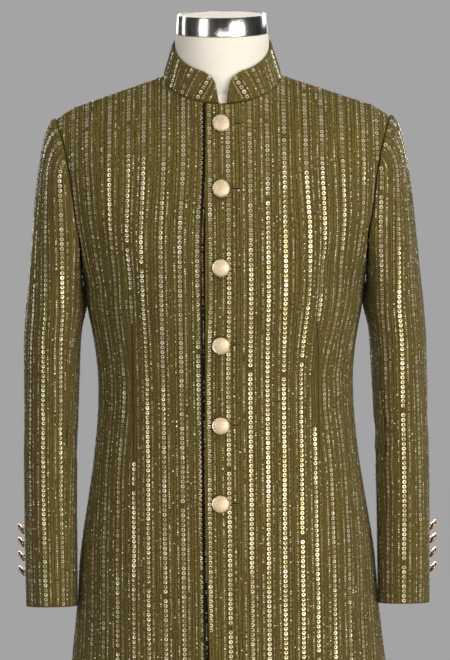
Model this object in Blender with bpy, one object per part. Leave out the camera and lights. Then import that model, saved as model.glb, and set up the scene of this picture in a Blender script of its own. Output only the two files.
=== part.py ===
"""A sherwani coat with a stand collar, buttoned on a limbless dress form.

Metres, +Z up, the coat's front faces -Y and the wearer's left is +X. The origin is the middle of
the stand's foot, on the floor. The cloth is cut in four body panels, two-piece sleeves and a
collar, each a wall of its own a hair apart from the next at the seam. Every panel is a grid of
points on one garment form: level rings below the arms, and above them curves that rise to the
neckline and over the shoulder.
"""
import math

import bpy
import bmesh
import numpy as np
from mathutils import Matrix, Vector
from mathutils.bvhtree import BVHTree

# Cloth
WALL = 0.0020
SEAM_GAP = 0.0004
ROUNDNESS = 2.2

# Heights of the coat
HEM_Z = 0.420
UNDERARM_Z = 1.235
SHOULDER_Z = 1.444
NECK_Z = 1.500
CUFF_Z = 0.785

# The garment's level sections, in millimetres
SECTION_COLUMNS = ("height", "half_width", "front", "back")
SECTIONS = (
    (420, 240, 166, 176),
    (560, 227, 157, 165),
    (700, 214, 149, 155),
    (779, 205, 144, 149),
    (855, 199, 140, 144),
    (924, 188, 134, 137),
    (992, 178, 128, 128),
    (1061, 172, 124, 118),
    (1101, 172, 124, 114),
    (1132, 175, 126, 114),
    (1196, 186, 132, 118),
    (1235, 191, 135, 121),
    (1267, 201, 136, 123),
    (1298, 210, 134, 125),
    (1319, 217, 131, 125),
    (1340, 220.5, 128, 125),
    (1385, 223.5, 119, 121),
    (1444, 221.6, 103, 111),
)

# The shoulder seam from the neck point to the sleeve head, in millimetres
SHOULDER_COLUMNS = ("x", "height")
SHOULDER_LINE = ((78.5, 1500), (112, 1489), (150, 1476), (190, 1462), (210, 1453.5), (221.6, 1444))

# Neckline: a tilted oval through the neck points, lower in front and higher at the nape
NECK_HALF_WIDTH = 0.0785
NECK_FRONT = 0.077
NECK_BACK = 0.065
NECK_DROP = 0.029
NAPE_RISE = 0.020

# How steeply the cloth runs into the shoulder seam, and how much more steeply at the neckline
SHOULDER_RISE = 0.42
FRONT_NECK_RISE = 0.51
BACK_NECK_RISE = 0.42
NECK_BLEND = 0.110

# Armhole: two half ovals that meet at the shoulder point and under the arm
ARMHOLE_MID_Z = 1.318
ARMHOLE_FRONT = 0.063
ARMHOLE_BACK = 0.066
UPPER_PANEL_ANGLE = 58.0

# Soft hollow that runs down from the front of the armhole
HOLLOW_DEPTH = 0.005
HOLLOW_X = 0.158
HOLLOW_Z = 1.225
HOLLOW_HALF_WIDTH = 0.026
HOLLOW_HALF_HEIGHT = 0.085

# Soft flutes of the skirt, none at the waist and full at the hem
FLUTE_DEPTH = 0.0045
FLUTE_TOP_Z = 0.98
FLUTES_PER_PANEL = 1.5
FLUTE_START = 0.35
FLUTE_GROWTH = 0.5
FLUTE_SIDE_CALM = 0.3

# Front opening: the wearer's left front laps over the right one
OVERLAP = 0.021
LINE_TOP_X = -0.0015
LINE_LEAN = 0.0118
PLACKET_LIFT = 0.0030
PLACKET_RECESS = 0.0014
PLACKET_BLEND = 0.030
EDGE_LIFT = 0.005
EDGE_LIFT_WIDTH = 0.070
EDGE_LIFT_DROP = 0.03
EDGE_LIFT_LENGTH = 0.30
EDGE_SWING = 0.004
EDGE_SWING_LENGTH = 0.25

# Grid of a body panel
NECK_COLUMNS = 5
SHOULDER_PANEL_COLUMNS = 7
SKIRT_ROWS = 12
ARMHOLE_ROW_ANGLES = (180, 157, 134, 111, 88, 72, UPPER_PANEL_ANGLE)
YOKE_ROWS = 4
YOKE_HANDLE = 0.36
YOKE_EVENING = 5
EVENING_FROM = 0.4
EVENING_OVER = 0.3

# Sleeves, in millimetres: level sections from the armhole down to the cuff
SLEEVE_COLUMNS = ("height", "centre_x", "centre_y", "half_width", "half_depth")
SLEEVE_SECTIONS = (
    (1194, 227.6, 2, 39.2, 71),
    (1152, 231.8, 2, 38.2, 69),
    (1100, 233.8, 0, 37.2, 66),
    (1033, 235.8, -4, 36.2, 63),
    (992, 237.0, -8, 36.0, 61),
    (924, 238.0, -15, 35.4, 58),
    (855, 238.0, -22, 35.1, 55),
    (785, 238.2, -28.5, 34.8, 52),
)
CUFF_SLOPE = 0.20
CUFF_SLOPE_TOP_Z = 0.920
UNDERARM_TUCK = 0.0065
UNDERARM_TUCK_Z = 1.150
UNDERARM_TUCK_ANGLE = 205.0
UNDERARM_TUCK_SPREAD = 24.0
SLEEVE_TOP_Z = 1.194
# How each side of the sleeve head leaves the armhole and arrives at the top section, millimetres
HEAD_COLUMNS = ("angle", "leave_x", "leave_y", "leave_z", "arrive_x", "arrive_z")
HEAD = (
    (0, 18, 0, 6, -14, 164),
    (45, 18, -12, -10, -12, 100),
    (90, 14, -9, -26, -8, 52),
    (135, 5, -6, -22, -1, 26),
    (180, 1, 0, -14, 0, 14),
    (225, 5, 6, -22, -1, 26),
    (270, 14, 9, -26, -8, 52),
    (315, 18, 12, -10, -12, 100),
)
HEAD_ROWS = 7
SLEEVE_ROWS = 9
NORMAL_STEP = 2.0
BACK_SEAM_ANGLE = -UPPER_PANEL_ANGLE * 3 / 4
FRONT_SEAM_ANGLE = 134.0

# Collar band: leans in towards the neck; its top edge falls at the front to rounded, flared corners
COLLAR_WALL = 0.0024
COLLAR_HEIGHT = 0.0415
COLLAR_NAPE_HEIGHT = 0.037
COLLAR_TOP_HALF_WIDTH = 0.0655
COLLAR_TOP_FRONT = 0.0655
COLLAR_TOP_BACK = 0.0645
COLLAR_FRONT_HEIGHT = 0.0375
COLLAR_CORNER = 0.009
COLLAR_END_LENGTH = 0.026
COLLAR_END_SLOPE = 0.27
COLLAR_FLARE = 0.007
COLLAR_FLARE_LENGTH = 0.030
COLLAR_GAP = 0.0102
COLLAR_LIFT = 0.0008
COLLAR_END_STEPS = (0.0, 0.0016, 0.0045, 0.009, 0.016, 0.026)
COLLAR_ROWS = 3

# Buttons
BUTTON_HEIGHTS = (1.446, 1.365, 1.263, 1.159, 1.051, 0.947)
BUTTON_RADIUS = 0.0120
BUTTON_PROFILE = ((0.30, 0.00), (0.30, 0.16), (0.90, 0.18), (1.00, 0.27), (0.95, 0.40), (0.80, 0.42), (0.45, 0.54))
BUTTON_CROWN = 0.58
BUTTON_SIDES = 16
CUFF_BUTTON_HEIGHTS = (0.891, 0.873, 0.854, 0.834)
CUFF_BUTTON_RADIUS = 0.0080
CUFF_BUTTON_PROFILE = ((0.26, 0.00), (0.24, 0.46), (0.84, 0.54), (1.00, 0.68), (0.94, 0.84), (0.74, 0.94),
                       (0.40, 1.03))
CUFF_BUTTON_CROWN = 1.06
CUFF_BUTTON_ANGLE = -7.0
CUFF_BUTTON_DROOP = math.radians(31.0)
CUFF_BUTTON_SIDES = 12
TOUCH = 0.0003
SHARP_EDGE = math.radians(40)

# Colours
OLIVE = (0.120, 0.098, 0.035)
BUTTON_GOLD = (0.66, 0.50, 0.30)
ROSE_GOLD = (0.48, 0.30, 0.20)
CREAM = (0.80, 0.76, 0.65)
DISC_CREAM = (0.78, 0.74, 0.63)
CAP_METAL = (0.78, 0.77, 0.74)
STAND_METAL = (0.55, 0.55, 0.54)

# Dress form and its stand
FORM_BOTTOM_Z = 0.700
FORM_CLEARANCE_COLUMNS = ("height", "clearance")
FORM_CLEARANCE = (
    (700, 42),
    (780, 30),
    (870, 19),
    (950, 11),
    (1040, 6),
    (1235, 5),
    (1385, 5),
    (1530, 5),
)
SHOULDER_REST = 0.0005
FORM_ROW_HEIGHTS = (0.700, 0.760, 0.840, 0.920, 1.000, 1.070, 1.150)
NECK_RADIUS = 0.0625
NECK_DEPTH = 0.0615
NECK_JOINT_RISE = 0.011
NECK_TOP_Z = 1.5560
NECK_TOP_RADIUS = 0.0610
NECK_TAPER = 0.010
CAP_RADIUS = 0.0603
CAP_TOP_RADIUS = 0.0588
CAP_TOP_Z = 1.5815
CAP_DISC_RADIUS = 0.0562
CAP_RECESS = 0.0022
CAP_EDGE = 0.001
DISC_GAP = 0.0004
ROUND_SIDES = 32
POLE_RADIUS = 0.016
FLANGE_RADIUS = 0.060
FLANGE_HEIGHT = 0.012
FLANGE_EDGE = 0.002
FOOT_RADIUS = 0.200
FOOT_HEIGHT = 0.012
FOOT_BEVEL = 0.003
SOCKET_RADIUS = 0.030
SOCKET_HEIGHT = 0.045
SOCKET_BASE = 0.010
SOCKET_TAPER = 0.004
SOCKET_WALL = 0.006

FRONT = -1
BACK = 1
MILLIMETRE = 0.001


# Plain tools for curves and tables

def smooth_curve(knots, values, at):
    """A smooth curve through a few knots, read at one place or many."""
    knots = np.asarray(knots, dtype=float)
    values = np.asarray(values, dtype=float)
    at = np.clip(np.asarray(at, dtype=float), knots[0], knots[-1])
    slopes = np.gradient(values, knots)
    span = np.clip(np.searchsorted(knots, at, side="right") - 1, 0, len(knots) - 2)
    width = knots[span + 1] - knots[span]
    t = (at - knots[span]) / width
    rise = values[span + 1] - values[span]
    start = slopes[span] * width
    end = slopes[span + 1] * width
    return values[span] + t * (start + t * (3 * rise - 2 * start - end + t * (start + end - 2 * rise)))


def read_table(rows, columns, name, at):
    """One column of a millimetre table, as metres, at the height or place given in metres."""
    table = np.asarray(rows, dtype=float)
    column = columns.index(name)
    return smooth_curve(table[:, 0] * MILLIMETRE, table[:, column] * MILLIMETRE, at)


def section(name, z):
    return read_table(SECTIONS, SECTION_COLUMNS, name, z)


def ease(t):
    """Rises from 0 to 1 without a corner."""
    t = np.clip(t, 0.0, 1.0)
    return t * t * (3 - 2 * t)


def bezier(p0, p1, p2, p3, t):
    s = 1 - t
    return s ** 3 * p0 + 3 * s * s * t * p1 + 3 * s * t * t * p2 + t ** 3 * p3


def unit(vectors):
    length = np.linalg.norm(vectors, axis=-1, keepdims=True)
    return vectors / np.maximum(length, 1e-12)


# The garment form

def side_name(side):
    return "front" if side == FRONT else "back"


def armhole(angle, side):
    """A point of the armhole: 0 degrees at the shoulder, 180 under the arm."""
    turn = np.radians(angle)
    reach = ARMHOLE_FRONT if side == FRONT else ARMHOLE_BACK
    rise = np.where(np.cos(turn) > 0, SHOULDER_Z - ARMHOLE_MID_Z, ARMHOLE_MID_Z - UNDERARM_Z)
    y = reach * np.abs(np.sin(turn))
    z = ARMHOLE_MID_Z + rise * np.cos(turn)
    share = (1 - (y / section(side_name(side), z)) ** ROUNDNESS) ** (1 / ROUNDNESS)
    x = section("half_width", z) * share
    return np.stack([x, side * y, z], axis=-1)


def ring_point(turn, z, side):
    """A point of the level ring at height z: 0 on the centre line, a quarter turn at the side."""
    across = np.sin(turn)
    x = section("half_width", z) * across
    depth = section(side_name(side), z)
    y = side * depth * (1 - np.minimum(np.abs(across), 1.0) ** ROUNDNESS) ** (1 / ROUNDNESS)
    point = np.stack([x, y, z + 0 * x], axis=-1)
    return shaped(point, turn, side)


def shaped(point, turn, side):
    """The ring with its soft shapes: the hollow under the arm and the flutes of the skirt."""
    x, y, z = point[..., 0], point[..., 1], point[..., 2]
    outward = unit(np.stack([x / section("half_width", z) ** 2,
                             y / section(side_name(side), z) ** 2, 0 * z], axis=-1))
    hang = ease((FLUTE_TOP_Z - z) / (FLUTE_TOP_Z - HEM_Z))
    away = ease((np.abs(turn) - FLUTE_START) / FLUTE_GROWTH)
    away = away * ease((math.pi / 2 - np.abs(turn)) / FLUTE_SIDE_CALM)
    flute = FLUTE_DEPTH * hang * away * np.cos(4 * FLUTES_PER_PANEL * turn)
    drop = np.exp(-((np.abs(x) - HOLLOW_X) / HOLLOW_HALF_WIDTH) ** 2 - ((z - HOLLOW_Z) / HOLLOW_HALF_HEIGHT) ** 2)
    hollow = HOLLOW_DEPTH * drop if side == FRONT else 0
    return point + outward * (flute - hollow)[..., None]


def button_line(z):
    """Where the middle of the front opening runs: it leans a little as it falls."""
    return LINE_TOP_X - LINE_LEAN * (NECK_Z - NECK_DROP - np.maximum(z, BUTTON_HEIGHTS[-1]))


def front_edge(z, wearer_side):
    """The front edge, in the frame of its own half (x grows towards the side seam)."""
    swing = 0.0
    if wearer_side > 0:
        swing = EDGE_SWING * ease((BUTTON_HEIGHTS[-1] - z) / EDGE_SWING_LENGTH)
    return wearer_side * button_line(z) - OVERLAP + swing


def lapped(grid, wearer_side):
    """The upper front stands proud over the lower one, and its free edge lifts below the buttons."""
    x, z = grid[..., 0], grid[..., 2]
    edge = front_edge(z, wearer_side)
    near = 1 - ease((x - edge - 2 * OVERLAP) / PLACKET_BLEND)
    below = ease((BUTTON_HEIGHTS[-1] - EDGE_LIFT_DROP - z) / EDGE_LIFT_LENGTH)
    free = EDGE_LIFT * below * (1 - ease((x - edge) / EDGE_LIFT_WIDTH))
    moved = grid.copy()
    moved[..., 1] -= PLACKET_LIFT * near + free if wearer_side > 0 else -PLACKET_RECESS * near
    return moved


def neckline(angle, side):
    """A point of the neckline: 0 at the centre line, a quarter turn at the neck point."""
    depth = NECK_FRONT if side == FRONT else NECK_BACK
    rise = -NECK_DROP if side == FRONT else NAPE_RISE
    x = NECK_HALF_WIDTH * np.sin(angle)
    y = side * depth * np.cos(angle)
    z = NECK_Z + rise * np.cos(angle)
    return np.stack([x, y, z], axis=-1)


def shoulder_seam(share):
    x = NECK_HALF_WIDTH + share * (SHOULDER_LINE[-1][0] * MILLIMETRE - NECK_HALF_WIDTH)
    z = read_table(SHOULDER_LINE, SHOULDER_COLUMNS, "height", x)
    return np.stack([x, 0 * x, z], axis=-1)


def top_edge(start, side):
    """The panel's upper edge: neckline points from the start angle, then the shoulder seam."""
    neck = neckline(np.linspace(start, math.pi / 2, NECK_COLUMNS + 1), side)
    seam = shoulder_seam(np.linspace(0, 1, SHOULDER_PANEL_COLUMNS + 1))
    return np.concatenate([neck, seam[1:]])


def arrival(top, side):
    """The way the cloth runs as it meets the neckline or rolls over the shoulder."""
    near_neck = ease((NECK_HALF_WIDTH + NECK_BLEND / 2 - np.abs(top[:, 0])) / NECK_BLEND)
    up = SHOULDER_RISE + near_neck * (FRONT_NECK_RISE if side == FRONT else BACK_NECK_RISE)
    inward = -side * np.sqrt(1 - up ** 2)
    return unit(np.stack([0 * up, inward, up], axis=-1))


def side_turn(z, side):
    """The ring angle at which a panel ends: the side seam, or the armhole above it."""
    low = ARMHOLE_MID_Z - UNDERARM_Z
    high = SHOULDER_Z - ARMHOLE_MID_Z
    if z <= UNDERARM_Z:
        return math.pi / 2
    reach = high if z > ARMHOLE_MID_Z else low
    angle = math.degrees(math.acos(max(-1.0, min(1.0, (z - ARMHOLE_MID_Z) / reach))))
    return math.asin(min(1.0, armhole(angle, side)[0] / section("half_width", z)))


def lower_heights():
    skirt = list(np.linspace(HEM_Z, UNDERARM_Z, SKIRT_ROWS + 1))
    around = [float(armhole(angle, FRONT)[2]) for angle in ARMHOLE_ROW_ANGLES[1:]]
    return skirt + around


def column_shares(top, first, side):
    """How far round the ring each column stands, between the panel's two edges."""
    z = lower_heights()[-1]
    last = side_turn(z, side)
    straight = np.arcsin(np.clip(top[:, 0] / section("half_width", z), -1, 1))
    straight = np.minimum(straight, last)
    even = np.linspace(first, last, len(top))
    mixed = 0.5 * straight + 0.5 * even
    mixed[0] = first
    mixed[-1] = last
    return (mixed - first) / (last - first)


def panel_points(side, edge_at):
    """The outer face of a body panel, row by row from the hem to the neckline and shoulder."""
    heights = lower_heights()
    neck_start = math.asin(float(edge_at(NECK_Z - NECK_DROP)) / NECK_HALF_WIDTH)
    top = top_edge(neck_start, side)
    first = [math.asin(float(edge_at(z)) / float(section("half_width", z))) for z in heights]
    shares = column_shares(top, first[-1], side)
    rows = []
    for z, start in zip(heights, first):
        turn = start + shares * (side_turn(z, side) - start)
        rows.append(ring_point(turn, z, side))
    rows.extend(yoke_rows(rows[-1], rows[-2], top, side))
    return np.array(rows)


def yoke_rows(base, below, top, side):
    """Rows from the last level ring up to the neckline and over the shoulder."""
    reach = np.linalg.norm(top - base, axis=1, keepdims=True) * YOKE_HANDLE
    first_handle = base + unit(base - below) * reach
    last_handle = top - arrival(top, side) * reach
    rows = []
    for step in range(1, YOKE_ROWS + 1):
        t = step / YOKE_ROWS
        row = bezier(base, first_handle, last_handle, top, t)
        row[-1] = armhole(UPPER_PANEL_ANGLE * (1 - t), side)
        rows.append(row if step == YOKE_ROWS else evened(row))
    return rows


def evened(row):
    """The row without the corner that the neck point would press into the cloth below it."""
    near_point = ease((row[1:-1, :1] / NECK_HALF_WIDTH - EVENING_FROM) / EVENING_OVER)
    for _ in range(YOKE_EVENING):
        middle = (row[:-2] + row[2:]) / 2
        row[1:-1] += 0.5 * near_point * (middle - row[1:-1])
    return row


def outward_normals(grid, side):
    across = np.gradient(grid, axis=1)
    upward = np.gradient(grid, axis=0)
    return unit(np.cross(across, upward)) * -side


# Walls of cloth

def level_seam(front_normals, back_normals, seam_row):
    """Front and back share one normal along the side seam and the shoulder seam."""
    side = unit(front_normals[:seam_row + 1, -1] + back_normals[:seam_row + 1, -1])
    front_normals[:seam_row + 1, -1] = side
    back_normals[:seam_row + 1, -1] = side
    shoulder = unit(front_normals[-1, NECK_COLUMNS:] + back_normals[-1, NECK_COLUMNS:])
    front_normals[-1, NECK_COLUMNS:] = shoulder
    back_normals[-1, NECK_COLUMNS:] = shoulder


def pulled(layer, columns=(), rows=()):
    """The layer with the named border columns or rows drawn back by half a seam gap."""
    moved = layer.copy()
    for column in columns:
        inner = column - 1 if column < 0 else column + 1
        moved[:, column] += unit(layer[:, inner] - layer[:, column]) * SEAM_GAP / 2
    for row in rows:
        inner = row - 1 if row < 0 else row + 1
        moved[row] += unit(layer[inner] - layer[row]) * SEAM_GAP / 2
    return moved


def grid_faces(rows, columns, offset, flip):
    faces = []
    for row in range(rows - 1):
        for column in range(columns - 1):
            a = offset + row * columns + column
            for face in ((a, a + 1, a + columns + 1), (a, a + columns + 1, a + columns)):
                faces.append(face[::-1] if flip else face)
    return faces


def border_loop(rows, columns):
    bottom = [(0, c) for c in range(columns)]
    right = [(r, columns - 1) for r in range(1, rows)]
    top = [(rows - 1, c) for c in range(columns - 2, -1, -1)]
    left = [(r, 0) for r in range(rows - 2, 0, -1)]
    return bottom + right + top + left


def edge_faces(here, there, columns, count):
    """Two triangles across the wall's thickness, cut the same way on both sides of a seam."""
    a, b = (r * columns + c for r, c in (here, there))
    if here < there:
        return (a, a + count, b + count), (a, b + count, b)
    return (a, a + count, b), (a + count, b + count, b)


def wall_mesh(name, outer, inner, flip):
    """A closed wall between an outer and an inner grid of points."""
    rows, columns = outer.shape[:2]
    count = rows * columns
    points = np.concatenate([outer.reshape(-1, 3), inner.reshape(-1, 3)])
    faces = grid_faces(rows, columns, 0, flip)
    faces += grid_faces(rows, columns, count, not flip)
    loop = border_loop(rows, columns)
    for here, there in zip(loop, loop[1:] + loop[:1]):
        for face in edge_faces(here, there, columns, count):
            faces.append(face[::-1] if flip else face)
    mesh = bpy.data.meshes.new(name)
    mesh.from_pydata(points.tolist(), [], faces)
    mesh.update()
    return mesh


def add_object(name, mesh, look, matrix=None):
    part = bpy.data.objects.new(name, mesh)
    bpy.context.scene.collection.objects.link(part)
    if matrix is not None:
        part.matrix_world = matrix
    mesh.materials.append(look)
    mesh.shade_smooth()
    mesh.set_sharp_from_angle(angle=SHARP_EDGE)
    return part


def finish(name, colour, roughness, metallic=0.0):
    look = bpy.data.materials.new(name)
    look.use_nodes = True
    shader = look.node_tree.nodes["Principled BSDF"]
    shader.inputs["Base Color"].default_value = (*colour, 1.0)
    shader.inputs["Roughness"].default_value = roughness
    shader.inputs["Metallic"].default_value = metallic
    return look


def olive(name):
    return finish(name, OLIVE, 0.62)


def mirrored(grid):
    return grid * np.array([-1.0, 1.0, 1.0])


def body_walls():
    """Both fronts and both backs as outer points and outward normals, in the +X half's frame."""
    walls = {}
    for wearer_side, word in ((1, "left"), (-1, "right")):
        front = panel_points(FRONT, lambda z, half=wearer_side: front_edge(z, half))
        back = panel_points(BACK, lambda z: 0.0 * z)
        front_normals = outward_normals(front, FRONT)
        back_normals = outward_normals(back, BACK)
        back_normals[:, 0, 0] = 0.0
        back_normals = unit(back_normals)
        level_seam(front_normals, back_normals, SKIRT_ROWS)
        walls["front_" + word] = (lapped(front, wearer_side), front_normals, wearer_side, (-1,))
        walls["back_" + word] = (back, back_normals, wearer_side, (0, -1))
    return walls


def build_body(walls):
    for name, (grid, normals, wearer_side, seams) in walls.items():
        outer = pulled(grid, columns=seams, rows=(-1,))
        inner = pulled(grid - normals * WALL, columns=seams, rows=(-1,))
        facing_out = name.startswith("front") == (wearer_side > 0)
        if wearer_side < 0:
            outer, inner = mirrored(outer), mirrored(inner)
        mesh = wall_mesh(name, outer, inner, not facing_out)
        add_object(name, mesh, olive(name + "_cloth"))


# Sleeves

def sleeve_section(angle, z):
    turn = np.radians(angle)
    sizes = [read_falling(SLEEVE_SECTIONS, SLEEVE_COLUMNS, name, z) for name in SLEEVE_COLUMNS[1:]]
    centre_x, centre_y, half_width, half_depth = sizes
    forward = half_depth * np.sin(turn)
    slope = CUFF_SLOPE * ease((CUFF_SLOPE_TOP_Z - z) / (CUFF_SLOPE_TOP_Z - CUFF_Z))
    tucked = UNDERARM_TUCK * ease((z - UNDERARM_TUCK_Z) / (SLEEVE_TOP_Z - UNDERARM_TUCK_Z))
    from_tuck = (np.mod(angle, 360.0) - UNDERARM_TUCK_ANGLE) / UNDERARM_TUCK_SPREAD
    x = centre_x + half_width * np.cos(turn) - tucked * np.exp(-from_tuck ** 2)
    return np.stack([x, centre_y - forward, z + slope * forward], axis=-1)


def read_falling(rows, columns, name, at):
    """As read_table, for a table that is written from the top down."""
    return read_table(rows[::-1], columns, name, at)


def head_value(name, angle):
    table = np.asarray(HEAD, dtype=float)
    knots = table[:, HEAD_COLUMNS.index("angle")]
    values = table[:, HEAD_COLUMNS.index(name)] * MILLIMETRE
    angle = np.mod(angle, 360.0)
    return smooth_curve(np.append(knots, 360.0), np.append(values, values[0]), angle)


def armhole_loop(angle):
    angle = np.mod(angle, 360.0)
    front = armhole(angle, FRONT)
    back = armhole(angle, BACK)
    return np.where((angle <= 180.0)[:, None], front, back)


def sleeve_points(angle):
    """The outer face of a sleeve, row by row from the armhole down to the cuff."""
    start = armhole_loop(angle) + np.array([SEAM_GAP, 0, 0])
    end = sleeve_section(angle, SLEEVE_TOP_Z)
    leave = np.stack([head_value("leave_" + axis, angle) for axis in "xyz"], axis=-1)
    arrive = np.stack([head_value("arrive_x", angle), 0 * angle, head_value("arrive_z", angle)], axis=-1)
    rows = []
    for t in np.linspace(0, 1, HEAD_ROWS + 1):
        rows.append(bezier(start, start + leave, end + arrive, end, t))
    for z in np.linspace(SLEEVE_TOP_Z, CUFF_Z, SLEEVE_ROWS + 1)[1:]:
        rows.append(sleeve_section(angle, z))
    return np.array(rows)


def sleeve_angles():
    """The top sleeve's and the under sleeve's columns, which meet the body panels' armhole points."""
    yoke = [UPPER_PANEL_ANGLE * (1 - step / YOKE_ROWS) for step in range(1, YOKE_ROWS + 1)]
    half = sorted(list(ARMHOLE_ROW_ANGLES) + yoke)
    ring = np.array([-angle for angle in half[:0:-1]] + half + [360 - angle for angle in half[-2:0:-1]])
    top = ring[(ring >= BACK_SEAM_ANGLE) & (ring <= FRONT_SEAM_ANGLE)]
    under = ring[(ring >= FRONT_SEAM_ANGLE) & (ring <= BACK_SEAM_ANGLE + 360)]
    return top, under


def sleeve_normals(angle):
    """Outward directions, worked out from points a little to each side on the same sleeve."""
    across = sleeve_points(angle + NORMAL_STEP) - sleeve_points(angle - NORMAL_STEP)
    downward = np.gradient(sleeve_points(angle), axis=0)
    return unit(np.cross(downward, across)) * -1


def build_sleeves():
    pieces = dict(zip(("sleeve_top", "sleeve_under"), sleeve_angles()))
    for word, angle in pieces.items():
        grid = sleeve_points(angle)
        normals = sleeve_normals(angle)
        outer = pulled(grid, columns=(0, -1))
        inner = pulled(grid - normals * WALL, columns=(0, -1))
        for wearer_side, half in ((1, "left"), (-1, "right")):
            name = word + "_" + half
            shape = (outer, inner) if wearer_side > 0 else (mirrored(outer), mirrored(inner))
            mesh = wall_mesh(name, *shape, wearer_side < 0)
            add_object(name, mesh, olive(name + "_cloth"))


# Collar

def collar_angles():
    """From the centre front round to the nape, with extra steps round the front corner."""
    first = math.asin(COLLAR_GAP / 2 / NECK_HALF_WIDTH)
    corner = [first + step / NECK_FRONT for step in COLLAR_END_STEPS]
    front = np.linspace(corner[-1], math.pi / 2, NECK_COLUMNS + 1)[1:]
    back = np.linspace(math.pi / 2, math.pi, NECK_COLUMNS + 1)[1:]
    return np.concatenate([corner, front, back])


def from_end(angle):
    """How far along the band a column lies from its front end."""
    return (angle - math.asin(COLLAR_GAP / 2 / NECK_HALF_WIDTH)) * NECK_FRONT


def collar_base(angle):
    front = neckline(angle, FRONT)
    back = neckline(math.pi - angle, BACK)
    base = np.where((angle <= math.pi / 2)[:, None], front, back)
    return base + np.array([0, 0, SEAM_GAP + COLLAR_LIFT])


def collar_top(angle):
    cosine = np.cos(angle)
    depth = np.where(cosine > 0, COLLAR_TOP_FRONT, COLLAR_TOP_BACK)
    base = collar_base(angle)
    height = np.where(cosine > 0, COLLAR_HEIGHT + cosine * (COLLAR_FRONT_HEIGHT - COLLAR_HEIGHT),
                      COLLAR_HEIGHT - cosine * (COLLAR_NAPE_HEIGHT - COLLAR_HEIGHT))
    flare = COLLAR_FLARE * np.clip(1 - from_end(angle) / COLLAR_FLARE_LENGTH, 0, 1) ** 2
    x = COLLAR_TOP_HALF_WIDTH * np.sin(angle) + flare
    return np.stack([x, -depth * cosine, base[:, 2] + height], axis=-1)


def corner_share(angle):
    """The share of the band's height that stands, less than one near the front corners."""
    along = from_end(angle)
    near = np.clip(along, 0, COLLAR_CORNER)
    rise = np.sqrt(np.maximum(COLLAR_CORNER ** 2 - (COLLAR_CORNER - near) ** 2, 0))
    fall = COLLAR_END_SLOPE * np.maximum(COLLAR_END_LENGTH - along, 0)
    return 1 - (COLLAR_CORNER - rise + fall) / COLLAR_FRONT_HEIGHT


def collar_half():
    angle = collar_angles()
    base = collar_base(angle)
    reach = (collar_top(angle) - base) * corner_share(angle)[:, None]
    return np.array([base + reach * t for t in np.linspace(0, 1, COLLAR_ROWS + 1)])


def build_collar():
    half = collar_half()
    outer = np.concatenate([half, mirrored(half)[:, ::-1][:, 1:]], axis=1)
    normals = unit(np.cross(np.gradient(outer, axis=1), np.gradient(outer, axis=0)))
    inner = outer - normals * COLLAR_WALL
    mesh = wall_mesh("collar", outer, inner, False)
    add_object("collar", mesh, olive("collar_cloth"))


# Buttons

def turned_mesh(name, profile, crown, sides):
    """A solid turned about Z from rings of (radius, height), closed by a flat base and a crown."""
    model = bmesh.new()
    rings = []
    for radius, height in profile:
        ring = []
        for side in range(sides):
            turn = 2 * math.pi * side / sides
            ring.append(model.verts.new((radius * math.cos(turn), radius * math.sin(turn), height)))
        rings.append(ring)
    model.faces.new(rings[0][::-1])
    for low, high in zip(rings, rings[1:]):
        for side in range(sides):
            after = (side + 1) % sides
            model.faces.new((low[side], low[after], high[after], high[side]))
    if crown is None:
        model.faces.new(rings[-1])
    else:
        tip = model.verts.new((0, 0, crown))
        for side in range(sides):
            model.faces.new((rings[-1][side], rings[-1][(side + 1) % sides], tip))
    mesh = bpy.data.meshes.new(name)
    model.to_mesh(mesh)
    model.free()
    return mesh


def button_mesh(name, shape, crown, radius, sides):
    profile = [(share * radius, height * radius) for share, height in shape]
    return turned_mesh(name, profile, crown * radius, sides)


def seat(cloth_name, origin, direction):
    """Where a ray meets the cloth, and a frame with Z along the cloth's outward direction."""
    mesh = bpy.data.objects[cloth_name].data
    points = [vertex.co for vertex in mesh.vertices]
    faces = [tuple(face.vertices) for face in mesh.polygons]
    place, normal, _, _ = BVHTree.FromPolygons(points, faces).ray_cast(Vector(origin), Vector(direction))
    turn = Vector((0, 0, 1)).rotation_difference(normal)
    return Matrix.Translation(place + normal * TOUCH) @ turn.to_matrix().to_4x4()


def build_front_buttons():
    for number, z in enumerate(BUTTON_HEIGHTS, 1):
        name = f"button_{number}"
        frame = seat("front_left", (float(button_line(z)), -1.0, z), (0, 1, 0))
        look = finish(name + "_metal", BUTTON_GOLD, 0.34, 0.9)
        mesh = button_mesh(name, BUTTON_PROFILE, BUTTON_CROWN, BUTTON_RADIUS, BUTTON_SIDES)
        add_object(name, mesh, look, frame)


def drooped(frame, wearer_side):
    """A loosely sewn button hangs down from its shank, with one side of the shank's foot on the cloth."""
    place = frame.to_translation()
    turn = Matrix.Rotation(wearer_side * CUFF_BUTTON_DROOP, 4, "Y")
    shank = CUFF_BUTTON_RADIUS * CUFF_BUTTON_PROFILE[0][0]
    out = Vector((wearer_side * shank * math.sin(CUFF_BUTTON_DROOP), 0, 0))
    return Matrix.Translation(place + out) @ turn @ Matrix.Translation(-place) @ frame


def build_cuff_buttons():
    for wearer_side, half in ((1, "left"), (-1, "right")):
        for number, z in enumerate(CUFF_BUTTON_HEIGHTS, 1):
            name = f"cuff_button_{half}_{number}"
            y = float(sleeve_section(np.array([CUFF_BUTTON_ANGLE]), z)[0, 1])
            frame = seat("sleeve_top_" + half, (wearer_side, y, z), (-wearer_side, 0, 0))
            look = finish(name + "_metal", ROSE_GOLD, 0.28, 0.9)
            mesh = button_mesh(name, CUFF_BUTTON_PROFILE, CUFF_BUTTON_CROWN, CUFF_BUTTON_RADIUS, CUFF_BUTTON_SIDES)
            add_object(name, mesh, look, drooped(frame, wearer_side))


# Dress form and stand

def form_clearance(z):
    return WALL + read_table(FORM_CLEARANCE, FORM_CLEARANCE_COLUMNS, "clearance", z)


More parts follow.
